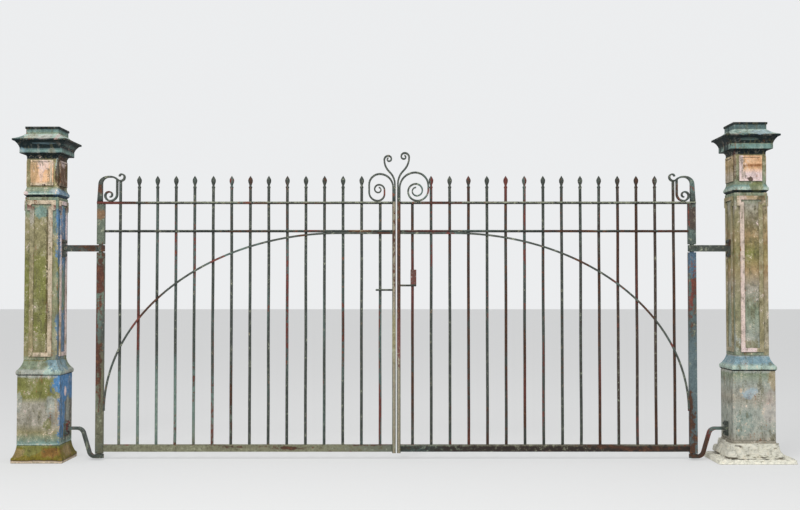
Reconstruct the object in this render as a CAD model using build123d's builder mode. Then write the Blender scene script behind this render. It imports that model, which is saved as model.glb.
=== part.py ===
from build123d import *
import os
from dataclasses import dataclass
from math import atan, cos, degrees, radians, sin

# Millimetres. X runs along the gate from the left post to the right one, Y runs back, Z up.
# The origin is the middle of the left post's foot, on its underside.

# Opening
leaf_width = 1860.0
heel_stile_width = 48.0
meeting_gap = 8.0
hinge_reach = 340.0

# Cast posts, from the foot up
foot_width = 314.0
flange_height = 30.0
flare_height = 75.0
flare_lip = 8.0
flare_sag = 3.6
plinth_width = 260.0
plinth_height = 425.0
shaft_width = 204.0
base_torus_height = 34.0
base_torus_bulge = 8.5
base_cyma_height = 58.0
base_cyma_sag = 5.0
shaft_height = 1000.0
necking_height = 60.0
necking_width = 220.0
necking_undercut = 16.0
necking_band = 12.0
necking_sag = 2.5
neck_width = 192.0
neck_height = 207.0
neck_flare_height = 28.0
neck_flare_sag = 4.5
cap_width = 334.0
cap_band_width = 262.0
cap_band_height = 34.0
cap_soffit_height = 42.0
cap_soffit_sag = 4.0
cap_lip_height = 12.0
cap_hollow_height = 36.0
cap_hollow_sag = 5.0
cap_block_width = 202.0
cap_block_height = 30.0
cap_top_width = 212.0
cap_top_height = 14.0
plinth_wall = 16.0
shaft_wall = 14.0
cap_roof = 30.0
foot_floor = 30.0

# Raised mouldings on the post faces
frame_width = 140.0
frame_ear = 18.0
frame_ear_height = 64.0
frame_bar = 26.0
frame_proud = 9.0
frame_margin = 20.0
neck_panel_width = 140.0
neck_panel_proud = 6.0
neck_panel_margin = 10.0
neck_bead = 12.0
neck_bead_proud = 5.0

# What the right post stands in
base_plate_width = 475.0
base_plate_depth = 400.0
base_plate_thickness = 28.0
mortar_width = 330.0
mortar_top_width = 288.0
mortar_height = 92.0

# Leaf frame
ground_clearance = 50.0
stile_depth = 28.0
heel_foot_clearance = 40.0
meeting_stile_width = 22.0
meeting_foot_clearance = 42.0
bottom_rail_height = 45.0
bottom_rail_thickness = 14.0
rail_thickness = 14.0
rail_depth = 40.0
middle_rail_height = 1360.0
top_rail_height = 1537.0

# Pickets and their spear heads
picket_diameter = 18.0
picket_count = 15
punch_clearance = 0.3
spear_tip_height = 1714.0
spear_length = 72.0
spear_width = 30.0
spear_neck = 13.0
spear_neck_drop = 62.0
spear_belly_drop = 30.0
spear_shoulder = 21.6
spear_shoulder_drop = 14.4

# Arched brace in front of the pickets
arch_thickness = 12.0
arch_depth = 12.0
arch_spring_height = 254.0
arch_crown_reach = 1485.0
seat_gap = 0.3

# Scroll bars
scroll_bar = 11.0
scroll_depth = 28.0
quarter = 90.0
volute_arcs = 9
heel_leg_reach = 2.0
heel_leg_height = 112.0
heel_leg_waist = 24.5
heel_arch_radius = 44.0
heel_shoulder_radius = 56.0
heel_fall = 45.0
heel_eye_radius = 31.0
heel_eye_arcs = 3
heel_curl_radius = 42.0
heel_curl_arcs = 5
curl_shrink = 0.76
stem_eye_arcs = 5

# Lock bars
lock_bar_thickness = 12.0
lock_bar_depth = 26.0
lock_box_width = 36.0
lock_box_depth = 31.0
lock_box_shift = 6.0
lock_box_height = 92.0

# Hinges
journal_radius = 13.0
journal_clearance = 0.1
top_hinge_drop = 277.0
collar_height = 40.0
collar_end_gap = 5.0
collar_radius = 25.0
pintle_length = 20.0
pintle_floor_gap = 0.3
cup_radius = 28.0
bracket_thickness = 16.0
bracket_depth = 44.0
pad_thickness = 12.0
pad_width = 60.0
pad_height = 110.0
pivot_pad_level = 195.0
pivot_pad_height = 88.0
pivot_arm_level = 20.0
arm_bend_radius = 40.0

post_spacing = 2 * (hinge_reach + leaf_width - heel_stile_width / 2) + meeting_gap

plinth_bore = plinth_width - 2 * plinth_wall
shaft_bore = shaft_width - 2 * shaft_wall
plinth_level = flange_height + flare_height
shaft_level = plinth_level + plinth_height + base_torus_height + base_cyma_height
necking_level = shaft_level + shaft_height
neck_level = necking_level + necking_height
cap_level = neck_level + neck_height

meeting_axis = leaf_width - heel_stile_width / 2 - meeting_stile_width / 2
meeting_face = meeting_axis - meeting_stile_width / 2
heel_face = heel_stile_width / 2
middle_rail_level = ground_clearance + middle_rail_height
top_rail_level = ground_clearance + top_rail_height
top_rail_top = top_rail_level + rail_thickness
top_hinge_level = top_rail_level - top_hinge_drop


@dataclass
class Post:
    name: str
    x: float
    foot: float


@dataclass
class Leaf:
    name: str
    hinge_x: float
    side: int
    first_picket: float
    spear_clearance: float
    lock_height: float
    lock_past: float
    volute_radius: float
    volute_shrink: float
    volute_fall: float
    volute_rise: float
    stem_leg: float
    stem_shift: float
    stem_rise: float
    stem_eye_radius: float


left_post = Post(name="left_post", x=0, foot=0)
right_post = Post(name="right_post", x=post_spacing, foot=base_plate_thickness)
left_leaf = Leaf(
    name="left_leaf",
    hinge_x=hinge_reach,
    side=1,
    first_picket=120,
    spear_clearance=32.242857,
    lock_height=995,
    lock_past=28,
    volute_radius=83,
    volute_shrink=0.80,
    volute_fall=48,
    volute_rise=24,
    stem_leg=110,
    stem_shift=66,
    stem_rise=152,
    stem_eye_radius=25,
)
right_leaf = Leaf(
    name="right_leaf",
    hinge_x=post_spacing - hinge_reach,
    side=-1,
    first_picket=113,
    spear_clearance=2.734286,
    lock_height=1023,
    lock_past=24,
    volute_radius=97,
    volute_shrink=0.84,
    volute_fall=27,
    volute_rise=0,
    stem_leg=112,
    stem_shift=70,
    stem_rise=165,
    stem_eye_radius=28,
)


def save(part, name):
    part.label = name
    export_step(part, f"parts/{name}.step")


def front_plane(x, z):
    return Plane(origin=(x, 0, z), x_dir=(1, 0, 0), z_dir=(0, -1, 0))


def side_plane(x, z):
    return Plane(origin=(x, 0, z), x_dir=(0, 1, 0), z_dir=(1, 0, 0))


def leaf_plane(leaf, y=0):
    """Local x runs from the hinge axis to the meeting stile, local y is height."""
    return Plane(origin=(leaf.hinge_x, y, 0), x_dir=(leaf.side, 0, 0), z_dir=(0, -leaf.side, 0))


def leaf_point(leaf, along):
    return leaf.hinge_x + leaf.side * along


def picket_reaches(leaf):
    """Even steps from the first picket to the last spear, which stands clear of the volute, and one more."""
    volute_face = meeting_axis - scroll_bar - leaf.volute_radius * (1 + leaf.volute_shrink)
    last_spear = volute_face - leaf.spear_clearance - picket_diameter / 2
    pitch = (last_spear - leaf.first_picket) / (picket_count - 2)
    return [leaf.first_picket + i * pitch for i in range(picket_count)]


def picket_places(leaf):
    return [(leaf_point(leaf, reach), 0) for reach in picket_reaches(leaf)]


def square_casting(x, level, section, bore, floor=0):
    """A square hollow casting: one section seen from the front and the side, cored from the floor up."""
    height = section.bounding_box().size.Y
    with BuildPart() as casting:
        with BuildSketch(front_plane(x, level)):
            add(section)
        extrude(amount=foot_width, both=True)
        with BuildSketch(side_plane(x, level)):
            add(section)
        extrude(amount=foot_width, both=True, mode=Mode.INTERSECT)
        with BuildSketch(Plane.XY.offset(level + floor)):
            with Locations((x, 0)):
                Rectangle(bore, bore)
        extrude(amount=height, mode=Mode.SUBTRACT)
    return casting.part


def foot_section():
    """Flange and a hollow flare up to the plinth."""
    outer = foot_width / 2
    inner = plinth_width / 2
    with BuildSketch() as section:
        with BuildLine():
            Line((0, 0), (outer, 0))
            Line((outer, 0), (outer, flange_height))
            Line((outer, flange_height), (outer - flare_lip, flange_height + flare_lip))
            SagittaArc(
                (outer - flare_lip, flange_height + flare_lip),
                (inner, flange_height + flare_height),
                flare_sag,
            )
            Line((inner, flange_height + flare_height), (0, flange_height + flare_height))
            Line((0, flange_height + flare_height), (0, 0))
        make_face()
        mirror(about=Plane.YZ)
    return section.sketch


def plinth_section():
    with BuildSketch() as section:
        with Locations((0, plinth_height / 2)):
            Rectangle(plinth_width, plinth_height)
    return section.sketch


def base_moulding_section():
    """A torus on the plinth and a hollow that runs up into the shaft."""
    outer = plinth_width / 2
    inner = shaft_width / 2
    top = base_torus_height + base_cyma_height
    with BuildSketch() as section:
        with BuildLine():
            Line((0, 0), (outer, 0))
            SagittaArc((outer, 0), (outer, base_torus_height), -base_torus_bulge)
            SagittaArc((outer, base_torus_height), (inner, top), base_cyma_sag)
            Line((inner, top), (0, top))
            Line((0, top), (0, 0))
        make_face()
        mirror(about=Plane.YZ)
    return section.sketch


def shaft_section():
    with BuildSketch() as section:
        with Locations((0, shaft_height / 2)):
            Rectangle(shaft_width, shaft_height)
    return section.sketch


def neck_section():
    """A necking band, undercut and hollowed above, the plain neck, and a flare under the cap."""
    band = necking_width / 2
    neck = neck_width / 2
    flare = neck + neck_flare_height / 2
    band_top = necking_undercut + necking_band
    top = necking_height + neck_height
    with BuildSketch() as section:
        with BuildLine():
            Line((0, 0), (neck, 0))
            Line((neck, 0), (band, necking_undercut))
            Line((band, necking_undercut), (band, band_top))
            SagittaArc((band, band_top), (neck, necking_height), necking_sag)
            Line((neck, necking_height), (neck, top - neck_flare_height))
            SagittaArc((neck, top - neck_flare_height), (flare, top), neck_flare_sag)
            Line((flare, top), (0, top))
            Line((0, top), (0, 0))
        make_face()
        mirror(about=Plane.YZ)
    return section.sketch


def cap_section():
    """A band, a hollow soffit under the projecting lip, a hollow above it, and a block with its top plate."""
    band = cap_band_width / 2
    outer = cap_width / 2
    block = cap_block_width / 2
    crown = cap_top_width / 2
    lip = cap_band_height + cap_soffit_height
    lip_top = lip + cap_lip_height
    hollow_top = lip_top + cap_hollow_height
    block_top = hollow_top + cap_block_height
    top = block_top + cap_top_height
    with BuildSketch() as section:
        with BuildLine():
            Polyline((0, 0), (band, 0), (band, cap_band_height))
            SagittaArc((band, cap_band_height), (outer - flare_lip, lip), cap_soffit_sag)
            Polyline((outer - flare_lip, lip), (outer, lip), (outer, lip_top))
            SagittaArc((outer, lip_top), (block, hollow_top), cap_hollow_sag)
            Polyline((block, hollow_top), (block, block_top), (crown, block_top), (crown, top), (0, top))
            Line((0, top), (0, 0))
        make_face()
        mirror(about=Plane.YZ)
    return section.sketch


def cap_casting(x, level):
    """The cap, closed at the top and cored from below."""
    section = cap_section()
    height = section.bounding_box().size.Y
    with BuildPart() as cap:
        with BuildSketch(front_plane(x, level)):
            add(section)
        extrude(amount=cap_width, both=True)
        with BuildSketch(side_plane(x, level)):
            add(section)
        extrude(amount=cap_width, both=True, mode=Mode.INTERSECT)
        with BuildSketch(Plane.XY.offset(level)):
            with Locations((x, 0)):
                Rectangle(shaft_bore, shaft_bore)
        extrude(amount=height - cap_roof, mode=Mode.SUBTRACT)
    return cap.part


def face_plane(x, half, level, angle):
    outward = Vector(cos(radians(angle)), sin(radians(angle)), 0)
    along = Vector(-outward.Y, outward.X, 0)
    return Plane(origin=(x + half * outward.X, half * outward.Y, level), x_dir=along, z_dir=outward)


def shaft_frames(x, level):
    """An eared moulding frame on each of the four shaft faces."""
    height = shaft_height - 2 * frame_margin
    with BuildPart() as frames:
        for angle in (0, 90, 180, 270):
            with BuildSketch(face_plane(x, shaft_width / 2, level + frame_margin, angle)):
                with Locations((0, height / 2)):
                    Rectangle(frame_width, height)
                with Locations((0, height - frame_ear_height / 2)):
                    Rectangle(frame_width + 2 * frame_ear, frame_ear_height)
                offset(amount=-frame_bar, kind=Kind.INTERSECTION, mode=Mode.SUBTRACT)
            extrude(amount=frame_proud)
    return frames.part


def neck_panels(x, level):
    """A raised panel with a bead round it on each of the four neck faces."""
    height = neck_height - neck_flare_height - 2 * neck_panel_margin
    with BuildPart() as panels:
        for angle in (0, 90, 180, 270):
            face = face_plane(x, neck_width / 2, level + neck_panel_margin, angle)
            with BuildSketch(face):
                with Locations((0, height / 2)):
                    Rectangle(neck_panel_width, height)
            extrude(amount=neck_panel_proud)
            with BuildSketch(face.offset(neck_panel_proud)):
                with Locations((0, height / 2)):
                    Rectangle(neck_panel_width, height)
                offset(amount=-neck_bead, kind=Kind.INTERSECTION, mode=Mode.SUBTRACT)
            extrude(amount=neck_bead_proud)
    return panels.part


def base_plate(x):
    with BuildPart() as plate:
        with BuildSketch():
            with Locations((x, 0)):
                Rectangle(base_plate_width, base_plate_depth)
        extrude(amount=base_plate_thickness)
    return plate.part


def mortar_bed(post, foot):
    """The mortar packed round the foot casting, on the base plate."""
    with BuildPart() as mortar:
        with BuildSketch(Plane.XY.offset(post.foot)):
            with Locations((post.x, 0)):
                Rectangle(mortar_width, mortar_width)
        with BuildSketch(Plane.XY.offset(post.foot + mortar_height)):
            with Locations((post.x, 0)):
                Rectangle(mortar_top_width, mortar_top_width)
        loft()
        add(foot, mode=Mode.SUBTRACT)
        with BuildSketch(Plane.XY.offset(post.foot)):
            with Locations((post.x, 0)):
                Rectangle(plinth_width, plinth_width)
        extrude(amount=mortar_height, mode=Mode.SUBTRACT)
    return mortar.part


def top_hinge(leaf):
    """A pad on the shaft, an arm, and the collar round the heel stile's journal."""
    reach = hinge_reach - shaft_width / 2
    with BuildPart() as hinge:
        with BuildSketch(leaf_plane(leaf)):
            with Locations((-reach + pad_thickness / 2, top_hinge_level)):
                Rectangle(pad_thickness, pad_height)
        extrude(amount=pad_width / 2, both=True)
        with BuildSketch(leaf_plane(leaf)):
            with Locations((-reach / 2, top_hinge_level)):
                Rectangle(reach, collar_height)
        extrude(amount=bracket_thickness / 2, both=True)
        with BuildSketch(Plane.XY.offset(top_hinge_level - collar_height / 2)):
            with Locations((leaf.hinge_x, 0)):
                Circle(collar_radius)
        extrude(amount=collar_height)
        with BuildSketch(Plane.XY.offset(top_hinge_level - collar_height / 2)):
            with Locations((leaf.hinge_x, 0)):
                Circle(journal_radius + journal_clearance)
        extrude(amount=collar_height, mode=Mode.SUBTRACT)
    return hinge.part


def bottom_pivot(leaf):
    """A pad on the plinth, a cranked arm, and the cup that the heel stile's pintle turns in."""
    reach = hinge_reach - plinth_width / 2
    cup_bottom = pivot_arm_level - bracket_thickness / 2
    cup_top = heel_foot_clearance - collar_end_gap
    pintle_bottom = heel_foot_clearance - pintle_length
    with BuildPart() as pivot:
        with BuildSketch(leaf_plane(leaf)):
            with Locations((-reach + pad_thickness / 2, pivot_pad_level)):
                Rectangle(pad_thickness, pivot_pad_height)
        extrude(amount=pad_width / 2, both=True)
        with BuildSketch(leaf_plane(leaf)):
            with BuildLine():
                FilletPolyline(
                    (-reach + pad_thickness / 2, pivot_pad_level),
                    (-reach / 2, pivot_pad_level),
                    (-reach / 4, pivot_arm_level),
                    (0, pivot_arm_level),
                    radius=arm_bend_radius,
                )
            trace(line_width=bracket_thickness)
        extrude(amount=bracket_depth / 2, both=True)
        with BuildSketch(Plane.XY.offset(cup_bottom)):
            with Locations((leaf.hinge_x, 0)):
                Circle(cup_radius)
        extrude(amount=cup_top - cup_bottom)
        with BuildSketch(Plane.XY.offset(pintle_bottom - pintle_floor_gap)):
            with Locations((leaf.hinge_x, 0)):
                Circle(journal_radius + journal_clearance)
        extrude(amount=pintle_length, mode=Mode.SUBTRACT)
    return pivot.part


def heel_stile(leaf):
    """A flat heel bar with a turned journal for the collar and a pintle at its foot."""
    neck = collar_height + 2 * collar_end_gap
    with BuildPart() as stile:
        with BuildSketch(Plane.XY.offset(heel_foot_clearance)):
            with Locations((leaf.hinge_x, 0)):
                Rectangle(heel_stile_width, stile_depth)
        extrude(amount=top_rail_level - heel_foot_clearance)
        with BuildSketch(Plane.XY.offset(top_hinge_level - neck / 2)):
            with Locations((leaf.hinge_x, 0)):
                Rectangle(heel_stile_width, stile_depth)
                Circle(journal_radius, mode=Mode.SUBTRACT)
        extrude(amount=neck, mode=Mode.SUBTRACT)
        with BuildSketch(Plane.XY.offset(heel_foot_clearance - pintle_length)):
            with Locations((leaf.hinge_x, 0)):
                Circle(journal_radius)
        extrude(amount=pintle_length)
    return stile.part


def meeting_stile(leaf):
    with BuildPart() as stile:
        with BuildSketch(Plane.XY.offset(meeting_foot_clearance)):
            with Locations((leaf_point(leaf, meeting_axis), 0)):
                Rectangle(meeting_stile_width, stile_depth)
        extrude(amount=top_rail_top - meeting_foot_clearance)
    return stile.part


def bottom_rail(leaf):
    length = meeting_face - heel_face
    with BuildPart() as rail:
        with BuildSketch(Plane.XY.offset(ground_clearance)):
            with Locations((leaf_point(leaf, heel_face + length / 2), 0)):
                Rectangle(length, bottom_rail_thickness)
        extrude(amount=bottom_rail_height)
    return rail.part


def punched_rail(leaf, start, level):
    """A flat bar laid flat, punched for the pickets, from start to the meeting stile."""
    length = meeting_face - start
    with BuildPart() as rail:
        with BuildSketch(Plane.XY.offset(level)):
            with Locations((leaf_point(leaf, start + length / 2), 0)):
                Rectangle(length, rail_depth)
            with Locations(*picket_places(leaf)):
                Circle(picket_diameter / 2 + punch_clearance, mode=Mode.SUBTRACT)
        extrude(amount=rail_thickness)
    return rail.part


def arched_brace(leaf):
    """A quarter ellipse from the heel stile up to the middle rail, then level to the meeting stile."""
    spring = ground_clearance + arch_spring_height
    outer_x = arch_crown_reach - heel_face
    outer_y = middle_rail_level - spring
    inner_x = outer_x - arch_thickness
    inner_y = outer_y - arch_thickness
    centre = (arch_crown_reach, spring)
    with BuildPart() as brace:
        with BuildSketch(leaf_plane(leaf, -picket_diameter / 2 - seat_gap)):
            with BuildLine():
                EllipticalCenterArc(centre, outer_x, outer_y, start_angle=quarter, arc_size=quarter)
                EllipticalCenterArc(centre, inner_x, inner_y, start_angle=quarter, arc_size=quarter)
                Line((arch_crown_reach - outer_x, spring), (arch_crown_reach - inner_x, spring))
                Polyline(
                    (arch_crown_reach, spring + outer_y),
                    (meeting_face, spring + outer_y),
                    (meeting_face, spring + inner_y),
                    (arch_crown_reach, spring + inner_y),
                )
            make_face()
        extrude(amount=leaf.side * arch_depth)
    return brace.part


def spear_picket():
    """A round bar that swells into a bud-shaped spear head."""
    bar = picket_diameter / 2
    foot = ground_clearance + bottom_rail_height
    tip = ground_clearance + spear_tip_height
    with BuildPart() as picket:
        with BuildSketch(Plane.XZ):
            Polygon(
                (0, foot),
                (bar, foot),
                (bar, tip - spear_length),
                (spear_neck / 2, tip - spear_neck_drop),
                (spear_width / 2, tip - spear_belly_drop),
                (spear_shoulder / 2, tip - spear_shoulder_drop),
                (0, tip),
                align=None,
            )
        revolve(axis=Axis.Z)
    return picket.part


def spear_pickets(leaf):
    with BuildPart() as pickets:
        with Locations(*picket_places(leaf)[1:-1]):
            add(spear_picket())
    return pickets.part


def plain_pickets(leaf):
    """The first picket carries the heel scroll's shoulder, and the last ends at the top rail."""
    foot = ground_clearance + bottom_rail_height
    first, last = picket_places(leaf)[0], picket_places(leaf)[-1]
    with BuildPart() as pickets:
        with BuildSketch(Plane.XY.offset(foot)):
            with Locations(first):
                Circle(picket_diameter / 2)
        extrude(amount=shoulder_level(leaf) - seat_gap - foot)
        with BuildSketch(Plane.XY.offset(foot)):
            with Locations(last):
                Circle(picket_diameter / 2)
        extrude(amount=top_rail_top - foot)
    return pickets.part


def volute(start, heading, radii, turn):
    """Quarter arcs, each tangent to the last, with shrinking radii."""
    for radius in radii:
        arc = JernArc(start=start, tangent=heading, radius=radius, arc_size=turn)
        start, heading = arc @ 1, arc % 1
    return start, heading


def shrinking(radius, count, shrink):
    return [radius * shrink**i for i in range(count)]


def shoulder_level(leaf):
    """Height of the underside of the heel scroll where the first picket meets it."""
    drop = (heel_shoulder_radius + heel_eye_radius) * (1 - cos(radians(heel_fall)))
    crown = top_rail_top + heel_leg_height + heel_arch_radius
    return crown - drop - scroll_bar / 2


def heel_leg():
    """The scroll's flat leg, which narrows from the heel stile's outer side up to the top of its arch."""
    inner = heel_leg_reach + scroll_bar / 2
    outer = inner - heel_leg_waist
    springing = top_rail_top + heel_leg_height
    arch_inner = heel_arch_radius - scroll_bar / 2
    arch_outer = heel_arch_radius + scroll_bar / 2
    centre = (heel_leg_reach + heel_arch_radius, springing)
    reach = centre[0] - outer
    with BuildSketch() as leg:
        with BuildLine():
            Line((inner, springing), (inner, top_rail_top))
            Polyline((inner, top_rail_top), (-heel_face, top_rail_top), (outer, springing))
            EllipticalCenterArc(centre, arch_inner, arch_inner, start_angle=quarter, arc_size=quarter)
            EllipticalCenterArc(centre, reach, arch_outer, start_angle=quarter, arc_size=quarter)
            Line((centre[0], springing + arch_inner), (centre[0], springing + arch_outer))
        make_face()
    return leg.sketch


def heel_scroll(leaf):
    """A leg that arches over into a small outer eye, with a curl inside the arch that rests on the rail."""
    shoulder_reach = (heel_shoulder_radius + heel_eye_radius) * sin(radians(heel_fall))
    flat = leaf.first_picket - shoulder_reach - heel_arch_radius - heel_leg_reach
    crown = Vector(heel_leg_reach + heel_arch_radius, top_rail_top + heel_leg_height + heel_arch_radius)
    curl_level = top_rail_top + seat_gap + scroll_bar / 2 + heel_curl_radius
    with BuildPart() as scroll:
        with BuildSketch(leaf_plane(leaf)):
            add(heel_leg())
            with BuildLine():
                level = Line(crown, crown + Vector(flat, 0))
                fall = JernArc(
                    start=level @ 1, tangent=(1, 0), radius=heel_shoulder_radius, arc_size=-heel_fall
                )
                rise = JernArc(start=fall @ 1, tangent=fall % 1, radius=heel_eye_radius, arc_size=heel_fall)
                eye = shrinking(heel_eye_radius * curl_shrink, heel_eye_arcs, curl_shrink)
                volute(rise @ 1, rise % 1, eye, quarter)
            trace(line_width=scroll_bar)
            with BuildLine():
                drop_end = Vector((fall @ 1).X, curl_level)
                Line(fall @ 1, drop_end)
                curl = shrinking(heel_curl_radius, heel_curl_arcs, curl_shrink)
                volute(drop_end, (0, -1), curl, -quarter)
            trace(line_width=scroll_bar)
        extrude(amount=scroll_depth / 2, both=True)
    return scroll.part


def centre_volute(leaf):
    """The inner of the two bars on the meeting stile, bent over into a large volute on the rail."""
    axis = meeting_axis - scroll_bar / 2
    radii = shrinking(leaf.volute_radius, volute_arcs, leaf.volute_shrink)
    turn_height = radii[1] + leaf.volute_fall + radii[2] - radii[0] + scroll_bar / 2 + seat_gap
    leg_top = (axis, top_rail_top + turn_height)
    with BuildPart() as scroll:
        with BuildSketch(leaf_plane(leaf)):
            with BuildLine():
                Line((axis, top_rail_top), leg_top)
                side, down = volute(leg_top, (0, 1), radii[:2], quarter)
                fall = Line(side, side + down * leaf.volute_fall)
                side, up = volute(fall @ 1, fall % 1, radii[2:4], quarter)
                if leaf.volute_rise:
                    side = Line(side, side + up * leaf.volute_rise) @ 1
                volute(side, up, radii[4:], quarter)
            trace(line_width=scroll_bar)
        extrude(amount=scroll_depth / 2, both=True)
    return scroll.part


def centre_stem(leaf):
    """The outer of the two bars, which leans away from the middle and curls back over itself."""
    axis = meeting_axis + scroll_bar / 2
    lean = 2 * degrees(atan(leaf.stem_shift / leaf.stem_rise))
    bend = leaf.stem_rise / (2 * sin(radians(lean)))
    leg_top = (axis, top_rail_top + leaf.stem_leg)
    with BuildPart() as stem:
        with BuildSketch(leaf_plane(leaf)):
            with BuildLine():
                Line((axis, top_rail_top), leg_top)
                away = JernArc(start=leg_top, tangent=(0, 1), radius=bend, arc_size=lean)
                back = JernArc(start=away @ 1, tangent=away % 1, radius=bend, arc_size=-lean)
                eye = shrinking(leaf.stem_eye_radius, stem_eye_arcs, curl_shrink)
                volute(back @ 1, back % 1, eye, -quarter)
            trace(line_width=scroll_bar)
        extrude(amount=scroll_depth / 2, both=True)
    return stem.part


def lock_bar(leaf):
    """A short bar from the meeting stile, punched for the last picket and ending a little past it."""
    start = picket_reaches(leaf)[-1] - leaf.lock_past
    length = meeting_face - start
    with BuildPart() as bar:
        with BuildSketch(Plane.XY.offset(ground_clearance + leaf.lock_height)):
            with Locations((leaf_point(leaf, start + length / 2), 0)):
                Rectangle(length, lock_bar_depth)
            with Locations(picket_places(leaf)[-1]):
                Circle(picket_diameter / 2 + punch_clearance, mode=Mode.SUBTRACT)
        extrude(amount=lock_bar_thickness)
    return bar.part


def lock_box(leaf):
    """The catch block that stands on the right leaf's lock bar, mostly on the hinge side of its picket."""
    level = ground_clearance + leaf.lock_height + lock_bar_thickness
    picket = picket_places(leaf)[-1]
    with BuildPart() as box:
        with BuildSketch(Plane.XY.offset(level)):
            with Locations((picket[0] - leaf.side * lock_box_shift, 0)):
                Rectangle(lock_box_width, lock_box_depth)
            with Locations(picket):
                Circle(picket_diameter / 2 + punch_clearance, mode=Mode.SUBTRACT)
        extrude(amount=lock_box_height)
    return box.part


def build_post(post, leaf):
    base = post.foot
    foot = square_casting(post.x, base, foot_section(), plinth_bore, foot_floor)
    save(foot, f"{post.name}_foot")
    plinth = square_casting(post.x, base + plinth_level, plinth_section(), plinth_bore)
    save(plinth, f"{post.name}_plinth")
    moulding_level = base + plinth_level + plinth_height
    moulding = square_casting(post.x, moulding_level, base_moulding_section(), shaft_bore)
    save(moulding, f"{post.name}_base_moulding")
    shaft = square_casting(post.x, base + shaft_level, shaft_section(), shaft_bore)
    save(shaft, f"{post.name}_shaft")
    save(shaft_frames(post.x, base + shaft_level), f"{post.name}_shaft_frames")
    neck = square_casting(post.x, base + necking_level, neck_section(), shaft_bore)
    save(neck, f"{post.name}_neck")
    save(neck_panels(post.x, base + neck_level), f"{post.name}_neck_panels")
    save(cap_casting(post.x, base + cap_level), f"{post.name}_cap")
    save(top_hinge(leaf), f"{post.name}_top_hinge")
    save(bottom_pivot(leaf), f"{post.name}_bottom_pivot")
    return foot


def build_leaf(leaf):
    save(heel_stile(leaf), f"{leaf.name}_heel_stile")
    save(meeting_stile(leaf), f"{leaf.name}_meeting_stile")
    save(bottom_rail(leaf), f"{leaf.name}_bottom_rail")
    save(punched_rail(leaf, heel_face, middle_rail_level), f"{leaf.name}_middle_rail")
    save(punched_rail(leaf, -heel_face, top_rail_level), f"{leaf.name}_top_rail")
    save(arched_brace(leaf), f"{leaf.name}_arched_brace")
    save(spear_pickets(leaf), f"{leaf.name}_spear_pickets")
    save(plain_pickets(leaf), f"{leaf.name}_plain_pickets")
    save(heel_scroll(leaf), f"{leaf.name}_heel_scroll")
    save(centre_volute(leaf), f"{leaf.name}_centre_volute")
    save(centre_stem(leaf), f"{leaf.name}_centre_stem")
    save(lock_bar(leaf), f"{leaf.name}_lock_bar")


os.makedirs("parts", exist_ok=True)
build_post(left_post, left_leaf)
right_foot = build_post(right_post, right_leaf)
save(base_plate(right_post.x), "right_post_base_plate")
save(mortar_bed(right_post, right_foot), "right_post_mortar")
build_leaf(left_leaf)
build_leaf(right_leaf)
save(lock_box(right_leaf), "right_leaf_lock_box")
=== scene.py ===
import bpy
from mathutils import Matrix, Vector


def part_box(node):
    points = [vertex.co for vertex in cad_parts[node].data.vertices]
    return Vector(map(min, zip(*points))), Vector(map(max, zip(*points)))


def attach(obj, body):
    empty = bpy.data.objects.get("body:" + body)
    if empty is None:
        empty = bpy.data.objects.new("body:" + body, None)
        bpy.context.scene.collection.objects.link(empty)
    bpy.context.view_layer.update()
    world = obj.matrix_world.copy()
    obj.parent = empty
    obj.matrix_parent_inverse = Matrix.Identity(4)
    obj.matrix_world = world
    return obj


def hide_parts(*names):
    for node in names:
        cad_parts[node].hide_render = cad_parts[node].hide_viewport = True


bl_info = {
    "name": "Wrought iron driveway gate",
    "version": (1, 0, 0),
    "blender": (4, 5, 0),
    "location": "3D View > Sidebar > Gate",
    "description": "Forges the leaves and castings of an old driveway gate and paints and rusts them",
    "category": "Object",
}

from functools import cached_property
from math import atan, atan2, cos, degrees, pi, radians, sin

import bmesh
import bpy
from mathutils import Matrix, Vector, noise

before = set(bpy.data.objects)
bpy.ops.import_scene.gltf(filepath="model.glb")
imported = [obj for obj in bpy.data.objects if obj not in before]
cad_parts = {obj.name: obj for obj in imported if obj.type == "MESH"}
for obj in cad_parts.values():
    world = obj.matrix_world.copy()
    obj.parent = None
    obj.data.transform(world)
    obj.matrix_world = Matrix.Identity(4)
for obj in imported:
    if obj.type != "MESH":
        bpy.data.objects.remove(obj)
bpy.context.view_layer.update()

LEAVES = ("left_leaf", "right_leaf")
POSTS = ("left_post", "right_post")

# Seed of the noise that pickets and rails wander by, because without one it differs in each run
WANDER_SEED = 1

# How far the grain of rust is drawn out along each axis
UPRIGHT = (1, 1, 9)
LEVEL = (9, 1, 1)
EVEN = (2, 2, 2)

# What a copied casting's mesh is cleaned and worn by
WELD_REACH = 1e-5
FLAT_ANGLE = radians(1)
SHARP_ANGLE = radians(28)
RIDGE_ANGLE = radians(45)

# Wear that bares a bar's edges, and the longest steps along a bent bar
EDGE_WEAR = 0.02
ARC_STEP = 9
RUN_STEP = 0.05

# What a scroll keeps from the rail that it leans on, and the turn of a heel scroll's shoulder
SEAT_GAP = 0.0003
SHOULDER_TURN = 45


def colour(name, description, default):
    return bpy.props.FloatVectorProperty(
        name=name, description=description, subtype="COLOR", size=3, min=0, max=1, default=default
    )


def length(name, description, default):
    return bpy.props.FloatProperty(name=name, description=description, unit="LENGTH", default=default)


def pair(name, description, default):
    """A length for the left leaf and one for the right leaf."""
    return bpy.props.FloatVectorProperty(
        name=name, description=description, unit="LENGTH", size=2, default=default
    )


def ratio(name, description, default):
    return bpy.props.FloatProperty(name=name, description=description, default=default)


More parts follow.
